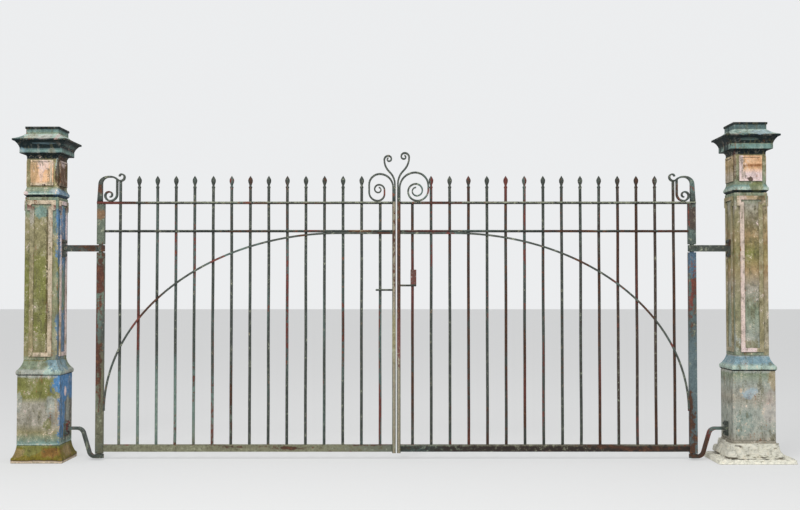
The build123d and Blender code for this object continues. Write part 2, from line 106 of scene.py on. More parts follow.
class GATE_PG_forge(bpy.types.PropertyGroup):
    """Sizes of the forged bars."""

    picket_radius: length("Picket radius", "Half the thickness of a round picket", 0.009)
    picket_wander: length("Picket wander", "How far a picket strays from straight", 0.0016)
    spears: bpy.props.IntProperty(
        name="Spear pickets", description="Pickets with a spear head on each leaf", default=13, min=2
    )
    bar_edge: length("Bar edge", "Width of the worn edge on rails, stiles and scrolls", 0.0016)
    hinge_edge: length("Hinge edge", "Width of the worn edge on the hinges", 0.002)
    pad: length("Pad", "Thickness of a hinge's pad on the post", 0.012)
    hinge_pad: length("Hinge pad", "Height of the top hinge's pad", 0.110)
    pivot_pad: length("Pivot pad", "Height of the bottom pivot's pad", 0.088)
    bolt_inset: length("Bolt inset", "From a pad's edges to the middle of a bolt head", 0.0135)
    bolt_radius: length("Bolt radius", "From the middle of a bolt head to its corners", 0.010)
    bolt_height: length("Bolt height", "How far a bolt head stands off its pad", 0.009)
    bolt_edge: length("Bolt edge", "Width of the worn edge on a bolt head", 0.0009)
    block_edge: length("Block edge", "Width of the worn edge on the catch block", 0.003)
    rail_wander: length("Rail wander", "How far a rail's faces stray from flat", 0.0006)
    arch_bar: length("Arch bar", "Thickness of the arched brace", 0.012)
    arch_spring: length("Arch spring", "Height at which the arched brace leaves the heel stile", 0.304)
    arch_crown: length("Arch crown", "Distance from the hinge axis to the top of the arch", 1.485)


class GATE_PG_scrolls(bpy.types.PropertyGroup):
    """Sizes of the scrolls, some of them for the left leaf and for the right one."""

    bar: length("Bar", "Thickness of a scroll's bar", 0.011)
    depth: length("Depth", "Width of a scroll's bar from front to back", 0.028)
    weld_depth: length("Weld depth", "The same width on a bar that is welded to another one", 0.0265)
    volute_radius: pair("Volute radius", "Radius of a centre volute's first quarter", (0.083, 0.097))
    volute_shrink: bpy.props.FloatVectorProperty(
        name="Volute shrink", description="Each quarter's radius over the last one's", size=2,
        default=(0.80, 0.84),
    )
    volute_fall: pair("Volute fall", "Straight run down a centre volute's outside", (0.048, 0.027))
    volute_rise: pair("Volute rise", "Straight run up a centre volute's inside", (0.024, 0.0))
    stem_leg: pair("Stem leg", "Straight run of a centre stem above the top rail", (0.110, 0.112))
    stem_shift: pair("Stem shift", "How far a centre stem leans away from the middle", (0.066, 0.070))
    stem_rise: pair("Stem rise", "Height over which a centre stem leans", (0.152, 0.165))
    stem_eye: pair("Stem eye", "Radius of the eye on a centre stem", (0.025, 0.028))
    heel_leg: length("Heel leg", "Straight run of a heel scroll above the top rail", 0.112)
    heel_foot: length("Heel foot", "Width of a heel scroll's leg on the rail", 0.0315)
    heel_waist: length("Heel waist", "Width of a heel scroll's leg where its arch starts", 0.0245)
    heel_arch: length("Heel arch", "Radius of a heel scroll's arch", 0.044)
    heel_shoulder: length("Heel shoulder", "Radius of a heel scroll's falling shoulder", 0.056)
    heel_eye: length("Heel eye", "Radius at which a heel scroll's outer eye starts", 0.031)
    heel_curl: length("Heel curl", "Radius at which a heel scroll's inner curl starts", 0.042)
    curl_shrink: ratio("Curl shrink", "Each quarter of a small curl over the last one", 0.76)


class GATE_PG_castings(bpy.types.PropertyGroup):
    """Sizes of the mouldings on the cast posts."""

    edge: length("Casting edge", "Width of the worn edge on the castings", 0.003)
    plate_edge: length("Plate edge", "Width of the chipped edge on the base plate", 0.004)
    plate_chips: length("Plate chips", "How far the base plate's edges are chipped in", 0.007)
    mortar_lumps: length("Mortar lumps", "How far the mortar strays from its bed's shape", 0.022)


class GATE_PG_paint(bpy.types.PropertyGroup):
    """Colours of the old paints, the rust and what grows on them."""

    iron_green: colour("Iron green", "Dark grey-green paint of the leaves", (0.062, 0.072, 0.062))
    turquoise: colour("Turquoise", "Old turquoise paint", (0.16, 0.26, 0.235))
    teal: colour("Teal", "Darkened turquoise paint on the caps", (0.088, 0.140, 0.138))
    pale_turquoise: colour("Pale turquoise", "Bleached turquoise paint", (0.39, 0.50, 0.44))
    # Besides real dark paint, this colour is laid as painted shade under the caps' lips, under the caps and
    # the necking bands, at the feet of the base mouldings, on faces that look down and on the right cap's
    # side towards the leaves
    green_black: colour("Green black", "Nearly black paint under the cap", (0.009, 0.018, 0.020))
    lichen: colour("Lichen", "Pale grey-green lichen", (0.33, 0.35, 0.25))
    olive: colour("Olive", "Olive moss on the castings", (0.190, 0.195, 0.062))
    moss_brown: colour("Moss brown", "Moss and dirt on the shafts", (0.255, 0.23, 0.12))
    sage: colour("Sage", "Grey-green paint of the margins", (0.215, 0.26, 0.18))
    pale_sage: colour("Pale sage", "Bleached grey-green paint", (0.345, 0.37, 0.325))
    putty: colour("Putty", "Bleached grey paint", (0.325, 0.305, 0.25))
    cream: colour("Cream", "Cream undercoat", (0.56, 0.46, 0.34))
    peach: colour("Peach", "Peach primer", (0.72, 0.44, 0.25))
    blush: colour("Blush", "Pinkish white undercoat", (0.70, 0.56, 0.54))
    tan: colour("Tan", "Tan undercoat near the ground", (0.35, 0.25, 0.13))
    ochre: colour("Ochre", "Ochre stain near the ground", (0.175, 0.14, 0.020))
    # Besides real rust, this colour is laid as painted shade on faces of the plate and mortar that look down,
    # and in a thin line beside a raised frame bar on the left shaft
    brown_rust: colour("Brown rust", "Dark brown rust", (0.070, 0.036, 0.024))
    maroon: colour("Maroon", "Red oxide paint and rust", (0.150, 0.045, 0.038))
    orange_rust: colour("Orange rust", "Fresh orange rust", (0.28, 0.12, 0.045))
    blue: colour("Blue", "Bright blue paint", (0.085, 0.225, 0.44))
    pale_blue: colour("Pale blue", "Bleached blue paint", (0.36, 0.47, 0.54))
    grey_blue: colour("Grey blue", "Weathered blue paint", (0.20, 0.31, 0.36))
    mortar: colour("Mortar", "Pale lime mortar", (0.78, 0.765, 0.66))


class GATE_PG_stage(bpy.types.PropertyGroup):
    """The camera, the lamps and the floor."""

    eye: bpy.props.FloatVectorProperty(
        name="Eye", description="Where the camera stands", subtype="TRANSLATION", size=3,
        default=(2.2025, -7.0, 1.04),
    )
    lens: ratio("Lens", "Focal length on a 36 mm film", 50.6)
    pitch: bpy.props.FloatProperty(
        name="Pitch", description="Upward tilt of the camera", subtype="ANGLE", default=radians(1.87)
    )
    floor: colour("Floor", "Plain pale floor", (0.80, 0.80, 0.79))
    glow: ratio("Glow", "How much of the backdrop's paleness the floor takes for the camera", 0.5)
    backdrop: colour("Backdrop", "What the camera sees behind the gate", (0.84, 0.85, 0.86))
    sky: ratio("Sky", "Strength of the even light", 0.52)
    key: ratio("Key", "Power of the main lamp in watts", 310)
    fill: ratio("Fill", "Power of the side lamp in watts", 60)


class Wire:
    """A socket in a finish's node tree, so that shader maths reads as plain expressions."""

    def __init__(self, finish, socket):
        self.finish = finish
        self.socket = socket

    def maths(self, operation, *operands):
        return self.finish.node("ShaderNodeMath", {"operation": operation}, dict(enumerate(operands)))

    def __add__(self, other):
        return self.maths("ADD", self, other)

    def __radd__(self, other):
        return self.maths("ADD", other, self)

    def __sub__(self, other):
        return self.maths("SUBTRACT", self, other)

    def __rsub__(self, other):
        return self.maths("SUBTRACT", other, self)

    def __mul__(self, other):
        return self.maths("MULTIPLY", self, other)

    def __rmul__(self, other):
        return self.maths("MULTIPLY", other, self)

    def step(self, low, high):
        """0 below low and 1 above high, with a soft step between."""
        settings = {"interpolation_type": "SMOOTHSTEP", "clamp": True}
        return self.finish.node("ShaderNodeMapRange", settings, {0: self, 1: low, 2: high})


class Finish:
    """A material or the world, and the few nodes that every paint here shares."""

    def __init__(self, name, library="materials"):
        self.data = getattr(bpy.data, library).new(name)
        self.data.use_nodes = True
        self.tree = self.data.node_tree
        self.tree.nodes.clear()

    @cached_property
    def place(self):
        """Where a point lies, in metres."""
        return self.node("ShaderNodeTexCoord", output="Object")

    def node(self, kind, settings=None, inputs=None, output=0):
        """A new node: its settings first, then the values or links of its sockets."""
        node = self.tree.nodes.new(kind)
        for name, value in (settings or {}).items():
            if name == "stops":
                self.set_stops(node.color_ramp, value)
            else:
                setattr(node, name, value)
        for key, value in (inputs or {}).items():
            if isinstance(value, Wire):
                self.tree.links.new(value.socket, node.inputs[key])
            else:
                node.inputs[key].default_value = value
        return Wire(self, node.outputs[output]) if node.outputs else None

    def set_stops(self, ramp, stops):
        ramp.elements.remove(ramp.elements[-1])
        ramp.elements[0].position = stops[0][0]
        ramp.elements[0].color = (*stops[0][1], 1)
        for position, tint in stops[1:]:
            ramp.elements.new(position).color = (*tint, 1)

    def axis(self, name):
        return self.node("ShaderNodeSeparateXYZ", inputs={0: self.place}, output=name)

    def noise(self, scale, stretch=(1, 1, 1), detail=5, roughness=0.6, shift=0.0):
        """Noise with so many features to the metre, drawn out along each axis by its stretch."""
        moved = self.node(
            "ShaderNodeMapping",
            inputs={
                "Vector": self.place,
                "Location": (shift, shift, shift),
                "Scale": tuple(scale / s for s in stretch),
            },
        )
        return self.node(
            "ShaderNodeTexNoise",
            inputs={"Vector": moved, "Scale": 1.0, "Detail": detail, "Roughness": roughness},
        )

    def mix(self, under, over, mask):
        """Two colours, with the second one where the mask is 1."""
        under, over = (c if isinstance(c, Wire) else (*c, 1) for c in (under, over))
        return self.node("ShaderNodeMix", {"data_type": "RGBA"}, {0: mask, 6: under, 7: over}, output=2)

    def bands(self, height, zones):
        """Colours by height, from a list of heights in metres, each with its colour."""
        low, high = zones[0][0], zones[-1][0]
        share = self.node("ShaderNodeMapRange", {"clamp": True}, {0: height, 1: low, 2: high})
        stops = [((level - low) / (high - low), tuple(tint)) for level, tint in zones]
        return self.node("ShaderNodeValToRGB", {"stops": stops}, {0: share})

    def patch(self, place, reach, ragged):
        """1 inside an egg of the given reaches round a place, with a ragged border."""
        scale = tuple(1 / r for r in reach)
        moved = self.node(
            "ShaderNodeMapping",
            inputs={
                "Vector": self.place,
                "Location": tuple(-p * s for p, s in zip(place, scale)),
                "Scale": scale,
            },
        )
        away = self.node("ShaderNodeVectorMath", {"operation": "LENGTH"}, {0: moved}, output="Value")
        return (away + (ragged - 0.5) * 5).step(1.08, 0.92)

    def toned(self, tint, amount):
        """A colour made lighter or darker by a factor."""
        operation = {"operation": "SCALE"}
        return self.node("ShaderNodeVectorMath", operation, {0: tint, "Scale": amount})

    def looked_at(self):
        """1 for the camera and for mirrored or clear surfaces, 0 for light that falls on things."""
        rays = [
            self.node("ShaderNodeLightPath", output=f"Is {kind} Ray")
            for kind in ("Camera", "Glossy", "Transmission")
        ]
        return (rays[0] + rays[1] + rays[2]).step(0, 1)

    def underside(self):
        """1 on faces that look down, which the paints darken as painted shade."""
        normal = self.node("ShaderNodeNewGeometry", output="Normal")
        return self.node("ShaderNodeSeparateXYZ", inputs={0: normal}, output="Z").step(-0.35, -0.8)

    def shade(self, tint, rough, relief, depth, gloss=0.35):
        """The surface, with its relief as a bump of that depth in metres."""
        normal = self.node("ShaderNodeBump", inputs={"Strength": 1.0, "Distance": depth, "Height": relief})
        surface = self.node(
            "ShaderNodeBsdfPrincipled",
            inputs={"Base Color": tint, "Roughness": rough, "Specular IOR Level": gloss, "Normal": normal},
        )
        self.node("ShaderNodeOutputMaterial", inputs={0: surface})
        return self.data


def leaf_iron(name, paint, grain, shift=0.0, worn=0.0, rusty=0.0, red=1.0, patches=(), pale=None, tone=1.0):
    """Grey-green paint flaking along a bar to rust, with old turquoise and lichen showing. Given a level, the
    bar is darkened below it as painted shade and paled above it with lichen and a painted highlight.
    """
    finish = Finish(name)
    runs = finish.noise(11, grain, detail=3, shift=shift)
    other = finish.noise(8, grain, detail=3, shift=shift + 7.3)
    blotch = finish.noise(34, detail=6, roughness=0.65, shift=shift + 2.1)
    fleck = finish.noise(170, detail=8, roughness=0.7, shift=shift + 4.7)
    ragged = blotch * 0.5 + fleck * 0.5

    rust = finish.mix(paint.brown_rust, paint.maroon, other.step(0.47, 0.58) * red)
    rust = finish.mix(rust, paint.orange_rust, (fleck * 0.6 + blotch * 0.4).step(0.53, 0.66) * 0.6)
    coat = finish.mix(paint.iron_green, paint.turquoise, (other * 0.5 + runs * 0.5).step(0.51, 0.60) * 0.45)
    for place, reach, tint, strength in patches:
        coat = finish.mix(coat, tint, finish.patch(place, reach, ragged) * strength)
    # Painted shade darkens the bar below the level, and lichen with a painted highlight pales it above
    if pale:
        level, strength = pale
        high = (finish.axis("Z") + (ragged - 0.5) * 0.02).step(level, level + 0.0015)
        lichen_and_painted_highlight = finish.mix(coat, paint.lichen, ragged.step(0.40, 0.50) * strength)
        coat = finish.mix(finish.toned(coat, 0.45), lichen_and_painted_highlight, high)
    coat = finish.mix(coat, paint.green_black, fleck.step(0.46, 0.36) * 0.7)
    coat = finish.mix(coat, paint.lichen, (ragged + worn).step(0.54, 0.61) * 0.75)
    bare = (runs * 0.6 + blotch * 0.25 + fleck * 0.15 + (worn * 0.3 + rusty)).step(0.525, 0.55)
    tint = finish.toned(finish.mix(coat, rust, bare), ((ragged - 0.5) * 2.4 + 1.0) * tone)
    return finish.shade(tint, bare * 0.25 + 0.6, (1 - bare) * 0.6 + fleck * 0.6, 0.0006, gloss=0.25)


def face_and_edge(name, paint, grain, **looks):
    """A bar's finish, and the one for its worn edges."""
    wear = {"face": 0.0, "edge": EDGE_WEAR}
    return [leaf_iron(f"{name} {side}", paint, grain, worn=worn, **looks) for side, worn in wear.items()]


def cast_paint(name, paint, zones, wander, patches=(), shift=0.0, worn=0.0, chips=0.85, stains=1.0):
    """Old paint on a casting: colours by height, patches of other colours, stains, chips and rust, with faces
    that look down darkened as painted shade; some of the bands and patches are painted shade too.
    """
    finish = Finish(name)
    cloud = finish.noise(9, shift=shift)
    mottle = finish.noise(32, (1, 1, 1.5), detail=6, roughness=0.65, shift=shift + 1.7)
    streak = finish.noise(46, (1, 1, 10), detail=4, shift=shift + 3.3)
    grain = finish.noise(150, detail=8, roughness=0.7, shift=shift + 5.9)
    ragged = cloud * 0.4 + mottle * 0.35 + grain * 0.25
    height = finish.axis("Z") + (ragged - 0.5) * (wander * 12)

    coat = finish.bands(height, zones)
    for place, reach, tint, strength in patches:
        coat = finish.mix(coat, tint, finish.patch(place, reach, ragged) * strength)
    coat = finish.mix(coat, paint.putty, (cloud * 0.4 + mottle * 0.6).step(0.51, 0.60) * (0.35 * stains))
    damp = (streak * 0.5 + mottle * 0.5).step(0.48, 0.40) * (0.45 * stains)
    coat = finish.mix(coat, paint.moss_brown, damp)
    coat = finish.mix(coat, paint.green_black, (grain * 0.6 + streak * 0.4).step(0.45, 0.37) * 0.6)
    under = finish.mix(paint.cream, paint.blush, cloud.step(0.45, 0.60))
    chipped = (mottle * 0.4 + grain * 0.6 + worn).step(0.575, 0.605)
    coat = finish.mix(coat, under, chipped * chips)
    rust = finish.mix(paint.brown_rust, paint.orange_rust, grain.step(0.42, 0.62))
    bare = (grain * 0.4 + streak * 0.35 + cloud * 0.25 + worn * 0.6).step(0.575, 0.605)
    tint = finish.toned(finish.mix(coat, rust, bare), (mottle * 0.6 + grain * 0.4 - 0.5) * 3.8 + 1.0)
    # Faces that look down are darkened nearly to black as painted shade
    tint = finish.mix(tint, paint.green_black, finish.underside() * 0.85)
    relief = (1 - chipped) * 0.5 - bare * 0.3 + grain * 0.5 + mottle
    return finish.shade(tint, bare * 0.2 + 0.66, relief, 0.0022, gloss=0.12)


def keep_faces(bm, node, name, body, finishes):
    """Turns the bmesh into a piece that rides on the body and stands for the node."""
    bmesh.ops.recalc_face_normals(bm, faces=bm.faces)
    mesh = bpy.data.meshes.new(name)
    bm.to_mesh(mesh)
    bm.free()
    mesh.shade_smooth()
    piece = bpy.data.objects.new(name, mesh)
    bpy.context.scene.collection.objects.link(piece)
    for finish in finishes:
        mesh.materials.append(finish)
    weighted = piece.modifiers.new("Soft edges", "WEIGHTED_NORMAL")
    weighted.keep_sharp = True
    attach(piece, body)
    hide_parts(node)


def wear_edges(bm, edges, width):
    """Rounds the edges, and gives their new faces the piece's second finish."""
    worn = bmesh.ops.bevel(
        bm, geom=edges, offset=width, affect="EDGES", segments=2, profile=0.5, material=-1,
        clamp_overlap=True,
    )
    for face in worn["faces"]:
        face.material_index = 1


def softened(node, width):
    """A copy of a CAD node's mesh with its coplanar faces joined and its edges worn round."""
    bm = bmesh.new()
    bm.from_mesh(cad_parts[node].data)
    bmesh.ops.remove_doubles(bm, verts=bm.verts, dist=WELD_REACH)
    bmesh.ops.dissolve_limit(bm, angle_limit=FLAT_ANGLE, verts=bm.verts, edges=bm.edges)
    sharp = [e for e in bm.edges if len(e.link_faces) == 2 and e.calc_face_angle() > SHARP_ANGLE]
    wear_edges(bm, sharp, width)
    return bm


def hinge_reach(leaf):
    """The hinge axis along X, and which way the leaf runs from it."""
    low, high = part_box(f"{leaf}_heel_stile")
    return (low.x + high.x) / 2, 1 if leaf == LEAVES[0] else -1


def section(bm, thickness, depth, edge):
    """The end face of a flat bar that is about to be drawn upwards."""
    before = set(bm.faces)
    corners = bmesh.ops.create_grid(bm, x_segments=1, y_segments=1, size=0.5)["verts"]
    bmesh.ops.scale(bm, vec=(thickness, depth, 1), verts=corners)
    bmesh.ops.bevel(
        bm, geom=corners, offset=edge, affect="VERTICES", segments=2, profile=0.5, material=-1
    )
    return next(face for face in bm.faces if face not in before)


def stations(moves, start, heading, taper):
    """Places along a bent bar. Each move is an arc's length and its turn to the right, in degrees."""
    total = sum(run for run, turn in moves)
    point, done = Vector(start), 0.0
    places = [(point.copy(), heading, taper(0))]
    for run, turn in moves:
        if not run:
            continue
        parts = max(1, round(abs(turn) / ARC_STEP if turn else run / RUN_STEP))
        for _ in range(parts):
            angle = radians(turn) / parts
            chord = run / parts * (sin(angle / 2) / (angle / 2) if angle else 1)
            way = heading + angle / 2
            point = point + Vector((sin(way), 0, cos(way))) * chord
            heading += angle
            done += run / parts
            places.append((point.copy(), heading, taper(done / total)))
    return places


def grow(bm, face):
    """Extrudes the end face of a bar, leaves no face inside the bar and gives its new end face."""
    inner = all(len(edge.link_faces) > 1 for edge in face.edges)
    grown = bmesh.ops.extrude_face_region(bm, geom=[face])["geom"]
    if inner:
        bmesh.ops.delete(bm, geom=[face], context="FACES_ONLY")
    return next(part for part in grown if isinstance(part, bmesh.types.BMFace))


def draw_bar(bm, face, places):
    """Extrudes the end face of a bar through the places, and leaves it closed at both ends."""
    frames = [
        Matrix.Translation(point) @ Matrix.Rotation(heading, 4, "Y") @ Matrix.Diagonal((width, 1, 1, 1))
        for point, heading, width in places
    ]
    bmesh.ops.transform(bm, matrix=frames[0], verts=face.verts)
    for last, following in zip(frames, frames[1:]):
        face = grow(bm, face)
        bmesh.ops.transform(bm, matrix=following @ last.inverted(), verts=face.verts)


def bent_bar(bm, thickness, depth, edge, moves, start, heading=0.0, taper=lambda share: 1.0, first=()):
    """A flat bar bent along its moves, after the places that its first ones already give."""
    places = list(first) + stations(moves, start, heading, taper)
    draw_bar(bm, section(bm, thickness, depth, edge), places)


def thinning(start, loss):
    """A taper: full width as far as the start, a share of the bar's length, then thinner by the loss."""
    return lambda share: 1.0 - loss * max(0, share - start) / (1 - start)


def quarters(radius, count, shrink, turn):
    """Moves round shrinking quarter turns."""
    return [(radius * shrink**i * pi / 2, turn) for i in range(count)]


def hang(bm, leaf):
    """Moves a leaf's piece from the hinge axis at X 0 to its place, turned over for the right leaf."""
    axis, side = hinge_reach(leaf)
    bmesh.ops.scale(bm, vec=(side, 1, 1), verts=bm.verts)
    bmesh.ops.translate(bm, vec=(axis, 0, 0), verts=bm.verts)


def keep_iron(bm, leaf, part, name, *finishes):
    """Keeps a piece of forged iron that stands for a part of the leaf."""
    keep_faces(bm, f"{leaf}_{part}", f"{leaf}_forged_{name}", leaf, finishes)


class GATE_OT_pickets(bpy.types.Operator):
    """Forges the round pickets of both leaves and their bud-shaped spear heads"""

    bl_idname = "gate.pickets"
    bl_label = "Pickets"

    # Rings of a spear head: millimetres below the tip, and radius over the bar's radius
    head = (
        (80, 1.0), (76, 1.22), (70, 1.22), (66, 0.84), (60, 0.80), (51, 1.12), (42, 1.50),
        (31, 1.66), (22, 1.46), (13, 0.92), (6, 0.42), (1, 0.10),
    )

    # Faces round a picket, and rings from its foot to its head
    sides = 14
    spans = 24

    def execute(self, context):
        scene = context.scene
        for leaf in LEAVES:
            upright = self.upright(scene.gate_paint, leaf)
            low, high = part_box(f"{leaf}_spear_pickets")
            radius = scene.gate_forge.picket_radius
            margin = radius * max(width for drop, width in self.head)
            pitch = (high.x - low.x - 2 * margin) / (scene.gate_forge.spears - 1)
            bm = bmesh.new()
            for i in range(scene.gate_forge.spears):
                foot = Vector((low.x + margin + i * pitch, 0, low.z))
                self.picket(bm, scene.gate_forge, foot, high.z, self.head)
            keep_iron(bm, leaf, "spear_pickets", "spears", upright)
            self.plain(scene.gate_forge, leaf, upright)
        return {"FINISHED"}

    def upright(self, paint, leaf):
        """The pickets' paint: paler low down at the left end, redder towards the right end."""
        if leaf == LEAVES[0]:
            patches = (
                ((0.60, 0, 0.25), (0.45, 0.1, 0.30), paint.lichen, 0.65),
                ((0.70, 0, 0.35), (0.35, 0.1, 0.25), paint.turquoise, 0.7),
            )
            return leaf_iron("left leaf pickets", paint, UPRIGHT, rusty=-0.012, patches=patches, tone=0.85)
        patches = (((3.75, 0, 0.9), (0.35, 0.1, 0.9), paint.brown_rust, 0.7),)
        return leaf_iron(
            "right leaf pickets", paint, UPRIGHT, shift=1.9, rusty=0.018, patches=patches, tone=0.8
        )

    def plain(self, forge, leaf, finish):
        """The first picket, under the heel scroll, and the last one, level with the top rail's top."""
        low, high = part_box(f"{leaf}_plain_pickets")
        rail_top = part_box(f"{leaf}_top_rail")[1].z
        tops = (high.z, rail_top) if leaf == LEAVES[0] else (rail_top, high.z)
        bm = bmesh.new()
        for x, top in zip((low.x + forge.picket_radius, high.x - forge.picket_radius), tops):
            self.picket(bm, forge, Vector((x, 0, low.z)), top, ())
        keep_iron(bm, leaf, "plain_pickets", "plain", finish)

    def picket(self, bm, forge, foot, tip, head):
        """A round bar drawn up ring by ring, with a little wander, to its head."""
        radius = forge.picket_radius
        ring = bmesh.ops.create_circle(
            bm, cap_ends=True, segments=self.sides, radius=radius, matrix=Matrix.Translation(foot)
        )
        face = ring["verts"][0].link_faces[0]
        top = tip - (head[0][0] / 1000 if head else 0)
        rings = [(foot.z + (top - foot.z) * i / self.spans, 1.0) for i in range(1, self.spans + 1)]
        rings += [(tip - drop / 1000, width) for drop, width in head[1:]]
        z, width, stray = foot.z, 1.0, Vector()
        for level, wide in rings:
            face = grow(bm, face)
            drift = noise.noise_vector(Vector((foot.x * 9, foot.y, level * 2.3)))
            drift = Vector((drift.x, drift.y, 0)) * forge.picket_wander
            centre = Vector((foot.x, foot.y, z)) + stray
            bmesh.ops.scale(
                bm, vec=(wide / width,) * 2 + (1,), space=Matrix.Translation(-centre), verts=face.verts
            )
            bmesh.ops.translate(bm, vec=drift - stray + Vector((0, 0, level - z)), verts=face.verts)
            z, width, stray = level, wide, drift


class GATE_OT_rails(bpy.types.Operator):
    """Forges the rails and the lock bars, a little out of flat"""

    bl_idname = "gate.rails"
    bl_label = "Rails"

    # Share of each rail's height on either leaf above which it is paled with lichen and a painted highlight
    # and below which it is darkened as painted shade, how much lichen it takes, and the tone
    looks = (
        ("bottom_rail", (-0.5, 0.75), 0.3, 0.9),
        ("middle_rail", (0.6, 0.6), 0.2, 0.75),
        ("top_rail", (0.4, 0.4), 0.75, 0.85),
        ("lock_bar", (0.5, 0.5), 0.3, 0.8),
    )

    # Length of the pieces that a rail is cut into before its faces stray
    cut = 0.045

    def execute(self, context):
        scene = context.scene
        paint = scene.gate_paint
        patches = (
            ((1.96, 0, 1.42), (0.07, 0.1, 0.03), paint.orange_rust, 0.8),
            ((2.36, 0, 1.42), (0.12, 0.1, 0.03), paint.maroon, 1.0),
            ((2.30, 0, 1.60), (0.20, 0.1, 0.02), paint.green_black, 0.6),
            ((3.3, 0, 0.07), (0.9, 0.1, 0.1), paint.brown_rust, 0.7),
            ((1.1, 0, 0.07), (0.9, 0.1, 0.1), paint.moss_brown, 0.6),
        )
        for number, leaf in enumerate(LEAVES):
            for part, starts, strength, tone in self.looks:
                low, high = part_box(f"{leaf}_{part}")
                # Above this level the rail is paled with lichen and a painted highlight, and below it the
                # rail is darkened as painted shade
                pale = (low.z + starts[number] * (high.z - low.z), strength)
                finishes = face_and_edge(
                    f"{leaf} {part}", paint, LEVEL, shift=3.0, rusty=-0.01, patches=patches, pale=pale,
                    tone=tone,
                )
                self.bar(scene.gate_forge, leaf, part, finishes)
        return {"FINISHED"}

    def bar(self, forge, leaf, part, finishes):
        low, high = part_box(f"{leaf}_{part}")
        size, middle = high - low, (high + low) / 2
        bm = bmesh.new()
        bmesh.ops.create_cube(bm, size=1, matrix=Matrix.Translation(middle) @ Matrix.Diagonal((*size, 1)))
        ridges = [e for e in bm.edges if abs(e.verts[0].co.x - e.verts[1].co.x) > size.x / 2]
        bmesh.ops.subdivide_edges(bm, edges=ridges, cuts=max(1, round(size.x / self.cut)), use_grid_fill=True)
        long_edges = [e for e in bm.edges if len(e.link_faces) == 2 and e.calc_face_angle() > RIDGE_ANGLE]
        wear_edges(bm, long_edges, forge.bar_edge)
        for vert in bm.verts:
            stray = noise.noise_vector(vert.co * 7 + middle)
            vert.co += Vector((0, stray.y, stray.z)) * forge.rail_wander
        keep_iron(bm, leaf, part, part, *finishes)


class GATE_OT_stiles(bpy.types.Operator):
    """Softens the edges of the heel and meeting stiles"""

    bl_idname = "gate.stiles"
    bl_label = "Stiles"

    def execute(self, context):
        scene = context.scene
        width = scene.gate_forge.bar_edge
        paint = scene.gate_paint
        for leaf in LEAVES:
            for part in ("heel_stile", "meeting_stile"):
                node = f"{leaf}_{part}"
                finishes = face_and_edge(
                    node, paint, UPRIGHT, shift=11.0, rusty=-0.01, red=0.25 if leaf == LEAVES[0] else 1.0,
                    patches=self.patches(paint, node),
                )
                keep_iron(softened(node, width), leaf, part, part, *finishes)
        return {"FINISHED"}

    def patches(self, paint, node):
        low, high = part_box(node)
        middle = (low + high) / 2
        if node.endswith("meeting_stile"):
            bottom = paint.moss_brown if node.startswith(LEAVES[0]) else paint.maroon
            return (
                ((middle.x, low.y, 0.85), (0.05, 0.05, 1.3), paint.moss_brown, 0.35),
                # This thin cream line down the middle of the meeting stile is a painted highlight
                ((middle.x, low.y, 0.85), (0.005, 0.05, 1.3), paint.cream, 0.45),
                ((middle.x, low.y, 0.75), (0.05, 0.05, 0.14), bottom, 0.9),
            )
        if node.startswith(LEAVES[0]):
            return (
                ((middle.x, 0, 0.35), (0.06, 0.1, 0.32), paint.moss_brown, 0.4),
                ((middle.x, 0, 1.25), (0.06, 0.1, 0.35), paint.sage, 0.45),
                ((middle.x, 0, 1.52), (0.04, 0.1, 0.03), paint.orange_rust, 0.6),
            )
        return (
            ((middle.x, 0, 0.35), (0.06, 0.1, 0.45), paint.grey_blue, 0.35),
            ((middle.x, 0, 1.22), (0.03, 0.1, 0.09), paint.blue, 0.3),
            ((middle.x, 0, 1.50), (0.06, 0.1, 0.07), paint.brown_rust, 0.8),
        )


class GATE_OT_arches(bpy.types.Operator):
    """Bends the arched braces in front of the pickets"""

    bl_idname = "gate.arches"
    bl_label = "Arched braces"

    # Steps round the quarter ellipse and along the level run, and the worn edge over a rail's
    bends = 72
    steps = 8
    softer = 1.4

    def execute(self, context):
        scene = context.scene
        forge = scene.gate_forge
        finish = leaf_iron("leaf iron arch", scene.gate_paint, EVEN, shift=5.0)
        for leaf in LEAVES:
            low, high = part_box(f"{leaf}_arched_brace")
            axis = hinge_reach(leaf)[0]
            start = min(abs(low.x - axis), abs(high.x - axis))
            end = max(abs(low.x - axis), abs(high.x - axis))
            half = forge.arch_bar / 2
            across = forge.arch_crown - start - half
            rise = high.z - forge.arch_spring - half
            places = []
            for i in range(self.bends + 1):
                turn = pi / 2 * i / self.bends
                x, z = forge.arch_crown - across * cos(turn), forge.arch_spring + rise * sin(turn)
                point = Vector((x, 0, z))
                slope = Vector((across * sin(turn), 0, rise * cos(turn)))
                places.append((point, atan(slope.x / slope.z) if i < self.bends else pi / 2, 1.0))
            crown, flat = places[-1][0], (end - forge.arch_crown) / self.steps
            level = [crown + Vector((flat * i, 0, 0)) for i in range(1, self.steps + 1)]
            places += [(point, pi / 2, 1.0) for point in level]
            bm = bmesh.new()
            edge = forge.bar_edge * self.softer
            draw_bar(bm, section(bm, forge.arch_bar, forge.arch_bar, edge), places)
            hang(bm, leaf)
            bmesh.ops.translate(bm, vec=(0, (low.y + high.y) / 2, 0), verts=bm.verts)
            keep_iron(bm, leaf, "arched_brace", "arch", finish)
        return {"FINISHED"}


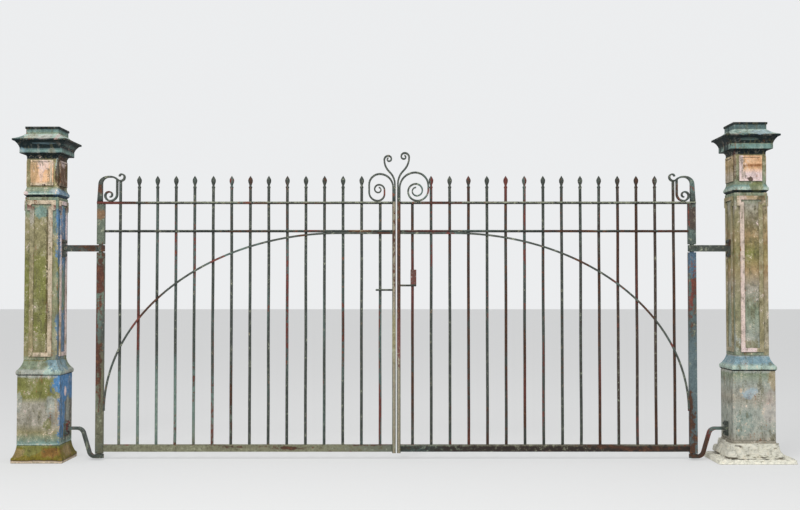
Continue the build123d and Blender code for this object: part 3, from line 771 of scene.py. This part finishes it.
class GATE_OT_scrolls(bpy.types.Operator):
    """Bends the scrolls over the heel and meeting stiles"""

    bl_idname = "gate.scrolls"
    bl_label = "Scrolls"

    # Quarter turns of a volute, a heel scroll's eye, its curl and a stem's eye
    volute_turns = 9
    heel_eye_turns = 3
    heel_curl_turns = 5
    stem_eye_turns = 5

    # Shares of the leg's height at its places, and steps round its arch
    leg_shares = (0, 0.25, 0.5, 0.75)
    arch_steps = 10

    def execute(self, context):
        scene = context.scene
        finish = leaf_iron("leaf iron scroll", scene.gate_paint, EVEN, shift=8.0)
        for number, leaf in enumerate(LEAVES):
            self.heel(scene, leaf, finish)
            self.volute(scene, number, leaf, finish)
            self.stem(scene, number, leaf, finish)
        return {"FINISHED"}

    def heel(self, scene, leaf, finish):
        """An arch over the heel stile, an outer eye, and a curl under the arch."""
        sizes = scene.gate_scrolls
        low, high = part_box(f"{leaf}_heel_scroll")
        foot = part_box(f"{leaf}_top_rail")[1].z
        axis, side = hinge_reach(leaf)
        outer = min((low.x - axis) * side, (high.x - axis) * side)
        leg = outer + sizes.heel_foot - sizes.bar / 2
        plain_low, plain_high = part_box(f"{leaf}_plain_pickets")
        radius = scene.gate_forge.picket_radius
        first = plain_low.x + radius - axis if side > 0 else axis - plain_high.x + radius
        turn = radians(SHOULDER_TURN)
        reach = (sizes.heel_shoulder + sizes.heel_eye) * sin(turn)
        flat = first - reach - sizes.heel_arch - leg
        moves = [
            (flat, 0),
            (sizes.heel_shoulder * turn, SHOULDER_TURN),
            (sizes.heel_eye * turn, -SHOULDER_TURN),
        ]
        eye = quarters(sizes.heel_eye * sizes.curl_shrink, self.heel_eye_turns, sizes.curl_shrink, -90)
        bm = bmesh.new()
        crown = foot + sizes.heel_leg + sizes.heel_arch
        bent_bar(
            bm, sizes.bar, sizes.depth, scene.gate_forge.bar_edge, moves + eye,
            (leg + sizes.heel_arch, 0, crown), heading=pi / 2,
            taper=thinning(0.6, 0.25),
            first=self.heel_leg(sizes, leg, foot),
        )
        shoulder = Vector((
            leg + sizes.heel_arch + flat + sizes.heel_shoulder * sin(turn),
            0,
            crown - sizes.heel_shoulder * (1 - cos(turn)),
        ))
        curl_level = foot + SEAT_GAP + sizes.bar / 2 + sizes.heel_curl
        curl = quarters(sizes.heel_curl, self.heel_curl_turns, sizes.curl_shrink, 90)
        bent_bar(
            bm, sizes.bar, sizes.weld_depth, scene.gate_forge.bar_edge,
            [(shoulder.z - curl_level, 0)] + curl, shoulder, heading=pi,
            taper=thinning(0.7, 0.25),
        )
        hang(bm, leaf)
        keep_iron(bm, leaf, "heel_scroll", "heel_scroll", finish)

    def heel_leg(self, sizes, leg, foot):
        """Places up the leg, which narrows from the rail to its arch's crown."""
        inner = leg + sizes.bar / 2
        springing = foot + sizes.heel_leg
        places = []
        for share in self.leg_shares:
            width = sizes.heel_foot + (sizes.heel_waist - sizes.heel_foot) * share
            point = Vector((inner - width / 2, 0, foot + sizes.heel_leg * share))
            places.append((point, 0.0, width / sizes.bar))
        middle = leg + sizes.heel_arch
        near = sizes.heel_arch - sizes.bar / 2
        far = (middle - inner + sizes.heel_waist, sizes.heel_arch + sizes.bar / 2)
        for step in range(self.arch_steps):
            turn = pi / 2 * step / self.arch_steps
            under = Vector((middle - near * cos(turn), 0, springing + near * sin(turn)))
            over = Vector((middle - far[0] * cos(turn), 0, springing + far[1] * sin(turn)))
            across = under - over
            places.append(((under + over) / 2, atan2(-across.z, across.x), across.length / sizes.bar))
        return places

    def volute(self, scene, number, leaf, finish):
        """The large volute that leans on the rail beside the meeting stile."""
        sizes = scene.gate_scrolls
        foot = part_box(f"{leaf}_top_rail")[1].z
        shrink = sizes.volute_shrink[number]
        radii = [sizes.volute_radius[number] * shrink**i for i in range(self.volute_turns)]
        fall, rise = sizes.volute_fall[number], sizes.volute_rise[number]
        leg = radii[1] + fall + radii[2] - radii[0] + sizes.bar / 2 + SEAT_GAP
        turns = [(radius * pi / 2, -90) for radius in radii]
        moves = [(leg, 0), *turns[:2], (fall, 0), *turns[2:4], (rise, 0), *turns[4:]]
        bm = bmesh.new()
        bent_bar(
            bm, sizes.bar, sizes.depth, scene.gate_forge.bar_edge, moves,
            (self.meeting(leaf) - sizes.bar / 2, 0, foot),
            taper=thinning(0.7, 0.3),
        )
        hang(bm, leaf)
        keep_iron(bm, leaf, "centre_volute", "volute", finish)

    def stem(self, scene, number, leaf, finish):
        """The tall stem that leans away from the middle and curls back over itself."""
        sizes = scene.gate_scrolls
        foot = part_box(f"{leaf}_top_rail")[1].z
        lean = 2 * atan(sizes.stem_shift[number] / sizes.stem_rise[number])
        bend = sizes.stem_rise[number] / (2 * sin(lean))
        turn = degrees(lean)
        moves = [(sizes.stem_leg[number], 0), (bend * lean, -turn), (bend * lean, turn)]
        moves += quarters(sizes.stem_eye[number], self.stem_eye_turns, sizes.curl_shrink, 90)
        bm = bmesh.new()
        bent_bar(
            bm, sizes.bar, sizes.depth, scene.gate_forge.bar_edge, moves,
            (self.meeting(leaf) + sizes.bar / 2, 0, foot),
            taper=thinning(0.75, 0.25),
        )
        hang(bm, leaf)
        keep_iron(bm, leaf, "centre_stem", "stem", finish)

    def meeting(self, leaf):
        """Distance from the hinge axis to the middle of the meeting stile."""
        low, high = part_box(f"{leaf}_meeting_stile")
        return abs((low.x + high.x) / 2 - hinge_reach(leaf)[0])


# Rows of paint and painted shade: the node, the shift of its patterns, how far its bands wander in metres,
# bands of colour with their shares of the height, patches of colour, and what its wear differs by. A patch
# has its place in shares of the node's half widths and height, its reach in metres, colour and strength
CASTING_PAINT = (
    ("left_post_foot", 20, 0.003, (
        ("cream", 0.0, 0.12), ("brown_rust", 0.17), ("ochre", 0.22, 0.85), ("olive", 0.95, 1.0),
    ), (
        ((0.5, -1, 0.6), (0.08, 0.1, 0.03), "orange_rust", 0.6),
        ((-0.2, -1, 0.7), (0.07, 0.1, 0.03), "olive", 0.8),
        ((-0.8, -1, 0.6), (0.04, 0.1, 0.03), "tan", 0.6),
        ((1, 0, 0.6), (0.05, 0.1, 0.04), "tan", 0.6),
    ), {"chips": 0.12, "stains": 0.1}),
    ("left_post_plinth", 21, 0.006, (
        ("turquoise", 0.0), ("pale_turquoise", 0.02), ("turquoise", 0.035), ("sage", 0.10),
        ("moss_brown", 0.18), ("putty", 0.32, 0.60), ("olive", 0.68, 0.955), ("pale_sage", 0.985),
    ), (
        ((1, 0.1, 0.50), (0.02, 0.16, 0.22), "iron_green", 0.65),
        ((1, 0, 0.86), (0.06, 0.22, 0.09), "blue", 1.0),
        ((1, -0.7, 0.55), (0.03, 0.06, 0.2), "blue", 0.85),
        ((1, 0.3, 0.40), (0.02, 0.03, 0.14), "pale_sage", 0.7),
        ((1, -0.1, 0.76), (0.015, 0.02, 0.025), "blush", 1.0),
        ((0.62, -1, 0.55), (0.035, 0.03, 0.07), "pale_sage", 0.9),
        ((0.86, -1, 0.5), (0.016, 0.03, 0.07), "tan", 0.5),
        ((0.4, -1, 0.30), (0.03, 0.03, 0.04), "olive", 0.8),
        ((-0.9, -1, 0.62), (0.02, 0.03, 0.06), "pale_sage", 0.7),
    ), {}),
    # The black band at the foot of the base moulding, where it meets the plinth, is painted shade
    ("left_post_base_moulding", 22, 0.0015, (
        ("green_black", 0.0, 0.05), ("pale_sage", 0.08, 0.36), ("sage", 0.44, 0.9), ("olive", 1.0),
    ), (
        ((0.8, -0.9, 0.3), (0.09, 0.12, 0.05), "pale_turquoise", 0.95),
        ((0.9, -0.5, 0.8), (0.09, 0.12, 0.05), "grey_blue", 0.9),
    ), {}),
    ("left_post_shaft", 23, 0.012, (
        ("sage", 0.0), ("moss_brown", 0.03), ("olive", 0.18, 0.60), ("moss_brown", 0.72, 0.86),
        ("sage", 0.90, 1.0),
    ), (
        ((0, -1, 0.91), (0.04, 0.04, 0.035), "turquoise", 0.8),
        ((0.84, -1, 0.28), (0.022, 0.02, 0.34), "pale_sage", 0.35),
        ((0.84, -1, 0.86), (0.022, 0.02, 0.14), "turquoise", 0.6),
        ((1, 0, 0.73), (0.02, 0.12, 0.22), "blue", 0.75),
        ((1, 0, 0.16), (0.02, 0.12, 0.15), "blue", 0.7),
        ((1, 0, 0.45), (0.02, 0.12, 0.12), "turquoise", 0.7),
        ((1, -0.6, 0.88), (0.02, 0.05, 0.06), "blue", 0.6),
        # This thin dark line just inside the raised frame's right bar is painted shade in the recess there
        ((0.35, -1, 0.45), (0.006, 0.02, 0.7), "brown_rust", 0.6),
    ), {}),
    # The black band at the neck's foot, under the necking band, and the one at its top, under the cap, are
    # painted shade
    ("left_post_neck", 24, 0.001, (
        ("green_black", 0.0, 0.05), ("pale_turquoise", 0.065, 0.08), ("turquoise", 0.10),
        ("sage", 0.15, 0.21), ("moss_brown", 0.24, 0.87), ("green_black", 0.895, 1.0),
    ), (
        ((0.9, -1, 0.14), (0.04, 0.1, 0.02), "pale_blue", 0.7),
        ((-0.9, -1, 0.09), (0.02, 0.1, 0.012), "blush", 0.9),
        ((0.84, -0.9, 0.72), (0.012, 0.03, 0.05), "pale_turquoise", 0.9),
        ((1, 0, 0.08), (0.05, 0.15, 0.03), "blue", 0.5),
        ((0.9, 0, 0.6), (0.02, 0.16, 0.10), "brown_rust", 0.85),
    ), {}),
    # The black band from the cap's soffit up over its lip, and the one at its bottom edge, are painted shade
    ("left_post_cap", 25, 0.0008, (
        ("green_black", 0.0, 0.02), ("teal", 0.03), ("turquoise", 0.08), ("teal", 0.16),
        ("green_black", 0.20, 0.51), ("pale_turquoise", 0.535, 0.72), ("sage", 0.75),
        ("turquoise", 0.82), ("teal", 0.90), ("green_black", 0.925, 1.0),
    ), (
        ((-0.35, -1, 0.62), (0.04, 0.2, 0.02), "cream", 0.4),
        ((0.15, -1, 0.60), (0.05, 0.2, 0.02), "blush", 0.35),
        ((-0.8, -1, 0.64), (0.03, 0.2, 0.02), "teal", 0.7),
        ((0.62, -1, 0.60), (0.02, 0.2, 0.02), "blush", 0.6),
        ((0.25, -1, 0.36), (0.08, 0.06, 0.006), "grey_blue", 0.55),
        ((0.4, -1, 0.09), (0.03, 0.06, 0.02), "putty", 0.45),
        ((-0.7, -1, 0.1), (0.03, 0.06, 0.02), "grey_blue", 0.6),
        ((1, 0, 0.33), (0.06, 0.15, 0.012), "turquoise", 0.5),
    ), {"chips": 0.2, "stains": 0.7}),
    ("right_post_foot", 30, 0.003, (("cream", 0.0), ("putty", 1.0)), (), {}),
    ("right_post_plinth", 31, 0.008, (
        ("putty", 0.0), ("pale_sage", 0.15, 0.45), ("putty", 0.6), ("pale_sage", 0.8), ("sage", 0.95),
        ("pale_sage", 0.985),
    ), (
        ((-0.1, -1, 0.68), (0.055, 0.05, 0.035), "pale_blue", 0.7),
        ((-0.5, -1, 0.25), (0.06, 0.05, 0.08), "turquoise", 0.35),
        ((-0.62, -1, 0.72), (0.008, 0.02, 0.012), "cream", 1.0),
        ((-0.75, -1, 0.15), (0.006, 0.02, 0.008), "cream", 1.0),
        ((0.7, -1, 0.45), (0.05, 0.05, 0.10), "blush", 0.25),
        ((0.9, -1, 0.9), (0.03, 0.05, 0.06), "tan", 0.6),
    ), {}),
    # The black band at the foot of the base moulding, where it meets the plinth, is painted shade
    ("right_post_base_moulding", 32, 0.0015, (
        ("green_black", 0.0, 0.06), ("pale_turquoise", 0.1, 0.3), ("grey_blue", 0.5, 0.9),
        ("pale_sage", 1.0),
    ), (), {}),
    ("right_post_shaft", 33, 0.012, (
        ("sage", 0.0), ("pale_sage", 0.08), ("sage", 0.28), ("putty", 0.42), ("tan", 0.52),
        ("olive", 0.62), ("tan", 0.74), ("moss_brown", 0.80), ("putty", 0.92), ("sage", 0.97, 1.0),
    ), (
        ((0.2, -1, 0.82), (0.06, 0.05, 0.05), "brown_rust", 0.35),
        ((0.84, -1, 0.5), (0.022, 0.02, 0.6), "tan", 0.5),
        ((-0.84, -1, 0.5), (0.022, 0.02, 0.5), "moss_brown", 0.7),
        ((-0.2, -1, 0.06), (0.05, 0.05, 0.05), "moss_brown", 0.6),
    ), {}),
    # The black band at the neck's foot, under the necking band, and the one at its top, under the cap, are
    # painted shade
    ("right_post_neck", 34, 0.001, (
        ("green_black", 0.0, 0.05), ("pale_turquoise", 0.065, 0.11), ("turquoise", 0.16),
        ("sage", 0.21, 0.24), ("moss_brown", 0.87), ("green_black", 0.895, 1.0),
    ), (
        ((0.3, -1, 0.14), (0.04, 0.1, 0.03), "olive", 0.7),
        ((-0.86, -1, 0.6), (0.01, 0.1, 0.1), "maroon", 0.5),
    ), {}),
    # The black band from the cap's soffit up over its lip is painted shade
    ("right_post_cap", 35, 0.0008, (
        ("turquoise", 0.0, 0.17), ("sage", 0.19), ("green_black", 0.21, 0.51),
        ("pale_turquoise", 0.535, 0.73), ("teal", 0.75, 0.90), ("green_black", 0.925, 1.0),
    ), (
        ((-0.2, -1, 0.35), (0.06, 0.06, 0.008), "turquoise", 0.6),
        ((0.4, -1, 0.62), (0.06, 0.1, 0.02), "pale_blue", 0.6),
        ((-0.45, -1, 0.60), (0.04, 0.1, 0.02), "turquoise", 0.6),
        # This black patch on the cap's side towards the leaves is painted shade
        ((-1, 0, 0.5), (0.05, 0.4, 0.2), "green_black", 0.9),
    ), {"chips": 0.2, "stains": 0.7}),
)

MOULDING_PAINT = (
    ("left_post_shaft_frames", 40, 0.006, (
        ("cream", 0.0, 0.025), ("tan", 0.06), ("putty", 0.93), ("maroon", 0.965), ("cream", 0.975, 1.0),
    ), (
        ((0.5, -1, 0.45), (0.03, 0.03, 0.6), "cream", 0.8),
        ((-0.5, -1, 0.4), (0.03, 0.03, 0.4), "moss_brown", 0.8),
        ((1, 0, 0.72), (0.02, 0.2, 0.24), "blue", 0.7),
        ((1, 0, 0.5), (0.02, 0.075, 0.7), "blush", 0.9),
    ), {"worn": 0.02}),
    ("left_post_neck_panels", 41, 0.003, (
        ("cream", 0.0, 0.08), ("peach", 0.16, 0.80), ("cream", 1.0),
    ), (
        ((0.1, -1, 0.8), (0.04, 0.04, 0.035), "blush", 0.6),
        ((-0.05, -1, 0.5), (0.015, 0.04, 0.06), "blush", 0.45),
        ((-0.45, -1, 0.5), (0.022, 0.04, 0.09), "tan", 0.6),
        ((0.52, -1, 0.5), (0.008, 0.04, 0.12), "cream", 1.0),
        ((0.12, -1, 0.02), (0.012, 0.04, 0.007), "brown_rust", 1.0),
        ((1, 0, 0.4), (0.02, 0.2, 0.12), "brown_rust", 0.9),
        ((1, 0, 0.95), (0.03, 0.06, 0.03), "blush", 0.7),
    ), {"worn": 0.02}),
    ("right_post_shaft_frames", 50, 0.006, (
        ("blush", 0.0, 0.03), ("cream", 0.08, 0.85), ("moss_brown", 0.93), ("cream", 0.96),
        ("tan", 1.0),
    ), (
        ((-0.5, -1, 0.25), (0.03, 0.03, 0.3), "blush", 0.35),
        ((-0.5, -1, 0.5), (0.03, 0.03, 0.7), "blush", 0.45),
        ((0.5, -1, 0.5), (0.04, 0.03, 0.7), "moss_brown", 0.9),
        ((-1, 0, 0.5), (0.02, 0.2, 0.7), "moss_brown", 0.8),
        ((0.5, -1, 0.97), (0.03, 0.03, 0.03), "brown_rust", 0.5),
    ), {"worn": 0.02}),
    ("right_post_neck_panels", 51, 0.003, (
        ("blush", 0.0, 0.3), ("peach", 0.5), ("orange_rust", 0.62), ("peach", 0.70, 1.0),
    ), (
        ((-0.55, -1, 0.6), (0.016, 0.04, 0.12), "blush", 1.0),
        ((0.25, -1, 0.62), (0.04, 0.04, 0.008), "orange_rust", 0.5),
        ((0.0, -1, 0.08), (0.014, 0.04, 0.014), "brown_rust", 0.9),
        ((-1, 0, 0.5), (0.02, 0.2, 0.2), "moss_brown", 0.7),
    ), {"worn": 0.02}),
)


class CastingPainter:
    """What the operators for the posts' castings share."""

    def execute(self, context):
        for node, shift, wander, bands, patches, wear in self.rows:
            self.casting(context.scene, node, shift, wander, bands, patches, **wear)
        return {"FINISHED"}

    def casting(self, scene, node, shift, wander, bands, patches, worn=0.03, chips=0.85, stains=1.0):
        """Paints one casting. Bands and patches are placed by shares of its height and half widths."""
        paint = scene.gate_paint
        low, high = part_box(node)
        middle, half = (low + high) / 2, (high - low) / 2
        zones = [
            (low.z + 2 * half.z * share, getattr(paint, tint)) for tint, *shares in bands for share in shares
        ]
        placed = []
        for (x, y, z), reach, tint, strength in patches:
            place = (middle.x + half.x * x, middle.y + half.y * y, low.z + 2 * half.z * z)
            placed.append((place, reach, getattr(paint, tint), strength))
        paints = [
            cast_paint(f"{node} {side}", paint, zones, wander, placed, shift, wear, chips, stains)
            for side, wear in (("face", 0.0), ("edge", worn))
        ]
        bm = softened(node, scene.gate_castings.edge)
        keep_faces(bm, node, f"{node}_painted", "posts", paints)


class GATE_OT_castings(CastingPainter, bpy.types.Operator):
    """Wears the edges of the post castings and paints them"""

    bl_idname = "gate.castings"
    bl_label = "Post castings"

    rows = CASTING_PAINT


class GATE_OT_mouldings(CastingPainter, bpy.types.Operator):
    """Wears the edges of the eared frames on the shafts and the panels on the necks and paints them"""

    bl_idname = "gate.mouldings"
    bl_label = "Post mouldings"

    rows = MOULDING_PAINT


class GATE_OT_footing(bpy.types.Operator):
    """Chips the base plate and crumbles the mortar under the right post"""

    bl_idname = "gate.footing"
    bl_label = "Plate and mortar"

    # Rounds of cutting at most, how much of a push is finer grit, and how high the bottom stays put
    rounds = 6
    grit_share = 0.22
    sill = 0.012

    def execute(self, context):
        castings = context.scene.gate_castings
        paint = context.scene.gate_paint
        for part, name, finish, tone, cell, depth, scale in (
            ("base_plate", "chipped_plate", "Mortar crust", 1.1, 0.012, castings.plate_chips, 30),
            ("mortar", "crumbled_mortar", "Mortar", 0.88, 0.009, castings.mortar_lumps, 13),
        ):
            material = self.mortar(finish, paint, tone)
            node = f"{POSTS[1]}_{part}"
            bm = softened(node, castings.plate_edge)
            self.crumble(bm, node, cell, depth, scale)
            keep_faces(bm, node, f"{POSTS[1]}_{name}", "posts", [material, material])
        return {"FINISHED"}

    def mortar(self, name, paint, tone):
        finish = Finish(name)
        lump = finish.noise(40, detail=8, roughness=0.7)
        pit = finish.noise(150, detail=6, roughness=0.7, shift=3.0)
        tint = finish.mix(paint.mortar, paint.cream, lump.step(0.53, 0.66) * 0.5)
        tint = finish.mix(tint, paint.brown_rust, (lump * 0.4 + pit * 0.6).step(0.40, 0.35) * 0.7)
        tint = finish.toned(tint, ((lump - 0.5) * 1.6 + 1.0) * tone)
        # Faces of the plate and mortar that look down are darkened to brown as painted shade
        tint = finish.mix(tint, paint.brown_rust, finish.underside() * 0.8)
        return finish.shade(tint, 0.9, lump * 0.8 + pit * 0.4, 0.004, gloss=0.1)

    def crumble(self, bm, node, cell, depth, scale):
        """Cuts the faces into small ones and breaks lumps out of them by noise, least at the bottom."""
        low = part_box(node)[0]
        bmesh.ops.triangulate(bm, faces=bm.faces)
        for _ in range(self.rounds):
            long_edges = [e for e in bm.edges if e.calc_length() > cell]
            if not long_edges:
                break
            bmesh.ops.subdivide_edges(bm, edges=long_edges, cuts=1)
            bmesh.ops.triangulate(bm, faces=bm.faces)
        bm.normal_update()
        pushes = []
        for vert in bm.verts:
            lumps = noise.fractal(vert.co * scale, 0.9, 2.1, 3) * 1.5 + 0.45
            grit = noise.fractal(vert.co * scale * 6, 0.7, 2.0, 3) * self.grit_share
            free = min(1.0, (vert.co.z - low.z) / self.sill)
            pushes.append(-vert.normal * depth * free * min(max(lumps + grit, 0.0), 1.0))
        for vert, push in zip(bm.verts, pushes):
            vert.co += push


class GATE_OT_ironmongery(bpy.types.Operator):
    """Forges the hinges and the catch block"""

    bl_idname = "gate.ironmongery"
    bl_label = "Hinges and catch"

    def execute(self, context):
        paint, forge = context.scene.gate_paint, context.scene.gate_forge
        forged = leaf_iron("hinge iron", paint, EVEN, shift=14.0)
        edge = leaf_iron("hinge iron edge", paint, EVEN, shift=14.0, worn=0.03)
        for post in POSTS:
            for part, height in (("top_hinge", forge.hinge_pad), ("bottom_pivot", forge.pivot_pad)):
                node = f"{post}_{part}"
                bm = softened(node, forge.hinge_edge)
                self.bolts(bm, forge, node, height)
                keep_faces(bm, node, f"{post}_forged_{part}", "posts", [forged, edge])
        material = self.red_oxide(paint)
        node = f"{LEAVES[1]}_lock_box"
        bm = softened(node, forge.block_edge)
        keep_faces(bm, node, f"{LEAVES[1]}_catch_block", LEAVES[1], [material, material])
        return {"FINISHED"}

    def red_oxide(self, paint):
        finish = Finish("red oxide")
        wear = finish.noise(80, detail=7, roughness=0.7)
        tint = finish.mix(paint.maroon, paint.brown_rust, wear.step(0.42, 0.55))
        tint = finish.mix(tint, paint.blush, wear.step(0.57, 0.62) * 0.6)
        return finish.shade(tint, 0.65, wear, 0.0008)

    def bolts(self, bm, forge, node, height):
        """Four hexagonal bolt heads near the corners of the pad, which is the top of its node's box."""
        low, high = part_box(node)
        side = 1 if node.startswith(POSTS[0]) else -1
        face = (low.x if side > 0 else high.x) + side * forge.pad
        for y in (low.y + forge.bolt_inset, high.y - forge.bolt_inset):
            for z in (high.z - height + forge.bolt_inset, high.z - forge.bolt_inset):
                head = bmesh.ops.create_cone(
                    bm, cap_ends=True, segments=6, radius1=forge.bolt_radius, radius2=forge.bolt_radius,
                    depth=forge.bolt_height * 2,
                    matrix=Matrix.Translation((face, y, z)) @ Matrix.Rotation(side * pi / 2, 4, "Y"),
                )["verts"]
                edges = list(dict.fromkeys(edge for vert in head for edge in vert.link_edges))
                bmesh.ops.bevel(
                    bm, geom=edges, offset=forge.bolt_edge, affect="EDGES", segments=1, profile=0.5,
                    material=-1,
                )


class GATE_OT_stage(bpy.types.Operator):
    """Sets out the floor, the lamps and the camera"""

    bl_idname = "gate.stage"
    bl_label = "Stage"

    # Each lamp's size and place, what the lamps aim at, half the floor's width and the film's width
    lamps = {"Key": (3.0, (0.4, -5.5, 5.5)), "Fill": (4.0, (6.5, -4.5, 3.0))}
    aim = (2.18, 0, 0.9)
    floor_reach = 60
    film_width = 36

    def execute(self, context):
        scene = context.scene
        stage = scene.gate_stage
        self.floor(scene, stage)
        self.sky(scene, stage)
        for name, (size, place) in self.lamps.items():
            self.lamp(name, getattr(stage, name.lower()), size, place)
        camera = bpy.data.cameras.new("Camera")
        camera.lens = stage.lens
        camera.sensor_width = self.film_width
        holder = bpy.data.objects.new("Camera", camera)
        holder.location = stage.eye
        holder.rotation_euler = (pi / 2 + stage.pitch, 0, 0)
        scene.collection.objects.link(holder)
        scene.camera = holder
        scene.view_settings.view_transform = "Standard"
        return {"FINISHED"}

    def floor(self, scene, stage):
        bm = bmesh.new()
        bmesh.ops.create_grid(bm, x_segments=1, y_segments=1, size=self.floor_reach)
        mesh = bpy.data.meshes.new("Floor")
        bm.to_mesh(mesh)
        bm.free()
        ground = bpy.data.objects.new("Floor", mesh)
        scene.collection.objects.link(ground)
        finish = Finish("pale floor")
        surface = finish.node(
            "ShaderNodeBsdfPrincipled",
            inputs={"Base Color": (*stage.floor, 1), "Roughness": 0.9, "Specular IOR Level": 0.1},
        )
        glow = finish.node("ShaderNodeEmission", inputs={"Color": (*stage.backdrop, 1)})
        seen = finish.looked_at() * stage.glow
        mixed = finish.node("ShaderNodeMixShader", inputs={0: seen, 1: surface, 2: glow})
        finish.node("ShaderNodeOutputMaterial", inputs={0: mixed})
        mesh.materials.append(finish.data)

    def sky(self, scene, stage):
        """An even sky, which the camera and reflections see as the pale backdrop."""
        finish = Finish("Sky", "worlds")
        light = finish.node("ShaderNodeBackground", inputs={"Color": (1, 1, 1, 1), "Strength": stage.sky})
        back = finish.node("ShaderNodeBackground", inputs={"Color": (*stage.backdrop, 1)})
        chosen = finish.node("ShaderNodeMixShader", inputs={0: finish.looked_at(), 1: light, 2: back})
        finish.node("ShaderNodeOutputWorld", inputs={0: chosen})
        scene.world = finish.data

    def lamp(self, name, power, size, place):
        light = bpy.data.lights.new(name, "AREA")
        light.energy = power
        light.size = size
        lamp = bpy.data.objects.new(name, light)
        lamp.location = place
        aim = Vector(self.aim) - Vector(place)
        lamp.rotation_euler = aim.to_track_quat("-Z", "Y").to_euler()
        bpy.context.scene.collection.objects.link(lamp)


class GATE_PT_gate(bpy.types.Panel):
    """The gate's steps and sizes"""

    bl_label = "Driveway gate"
    bl_space_type = "VIEW_3D"
    bl_region_type = "UI"
    bl_category = "Gate"

    def draw(self, context):
        for operator in OPERATORS:
            self.layout.operator(operator.bl_idname)
        for name in GROUPS:
            group = getattr(context.scene, name)
            box = self.layout.box()
            for prop in group.__annotations__:
                box.prop(group, prop)


GROUPS = {
    "gate_forge": GATE_PG_forge,
    "gate_scrolls": GATE_PG_scrolls,
    "gate_castings": GATE_PG_castings,
    "gate_paint": GATE_PG_paint,
    "gate_stage": GATE_PG_stage,
}
OPERATORS = (
    GATE_OT_pickets,
    GATE_OT_rails,
    GATE_OT_stiles,
    GATE_OT_arches,
    GATE_OT_scrolls,
    GATE_OT_castings,
    GATE_OT_mouldings,
    GATE_OT_footing,
    GATE_OT_ironmongery,
    GATE_OT_stage,
)


def register():
    for cls in (*GROUPS.values(), *OPERATORS, GATE_PT_gate):
        bpy.utils.register_class(cls)
    for name, group in GROUPS.items():
        setattr(bpy.types.Scene, name, bpy.props.PointerProperty(type=group))


def unregister():
    for name in GROUPS:
        delattr(bpy.types.Scene, name)
    for cls in (GATE_PT_gate, *reversed(OPERATORS), *reversed(GROUPS.values())):
        bpy.utils.unregister_class(cls)


def main():
    noise.seed_set(WANDER_SEED)
    register()
    for operator in OPERATORS:
        category, name = operator.bl_idname.split(".")
        getattr(getattr(bpy.ops, category), name)()


if __name__ == "__main__":
    main()
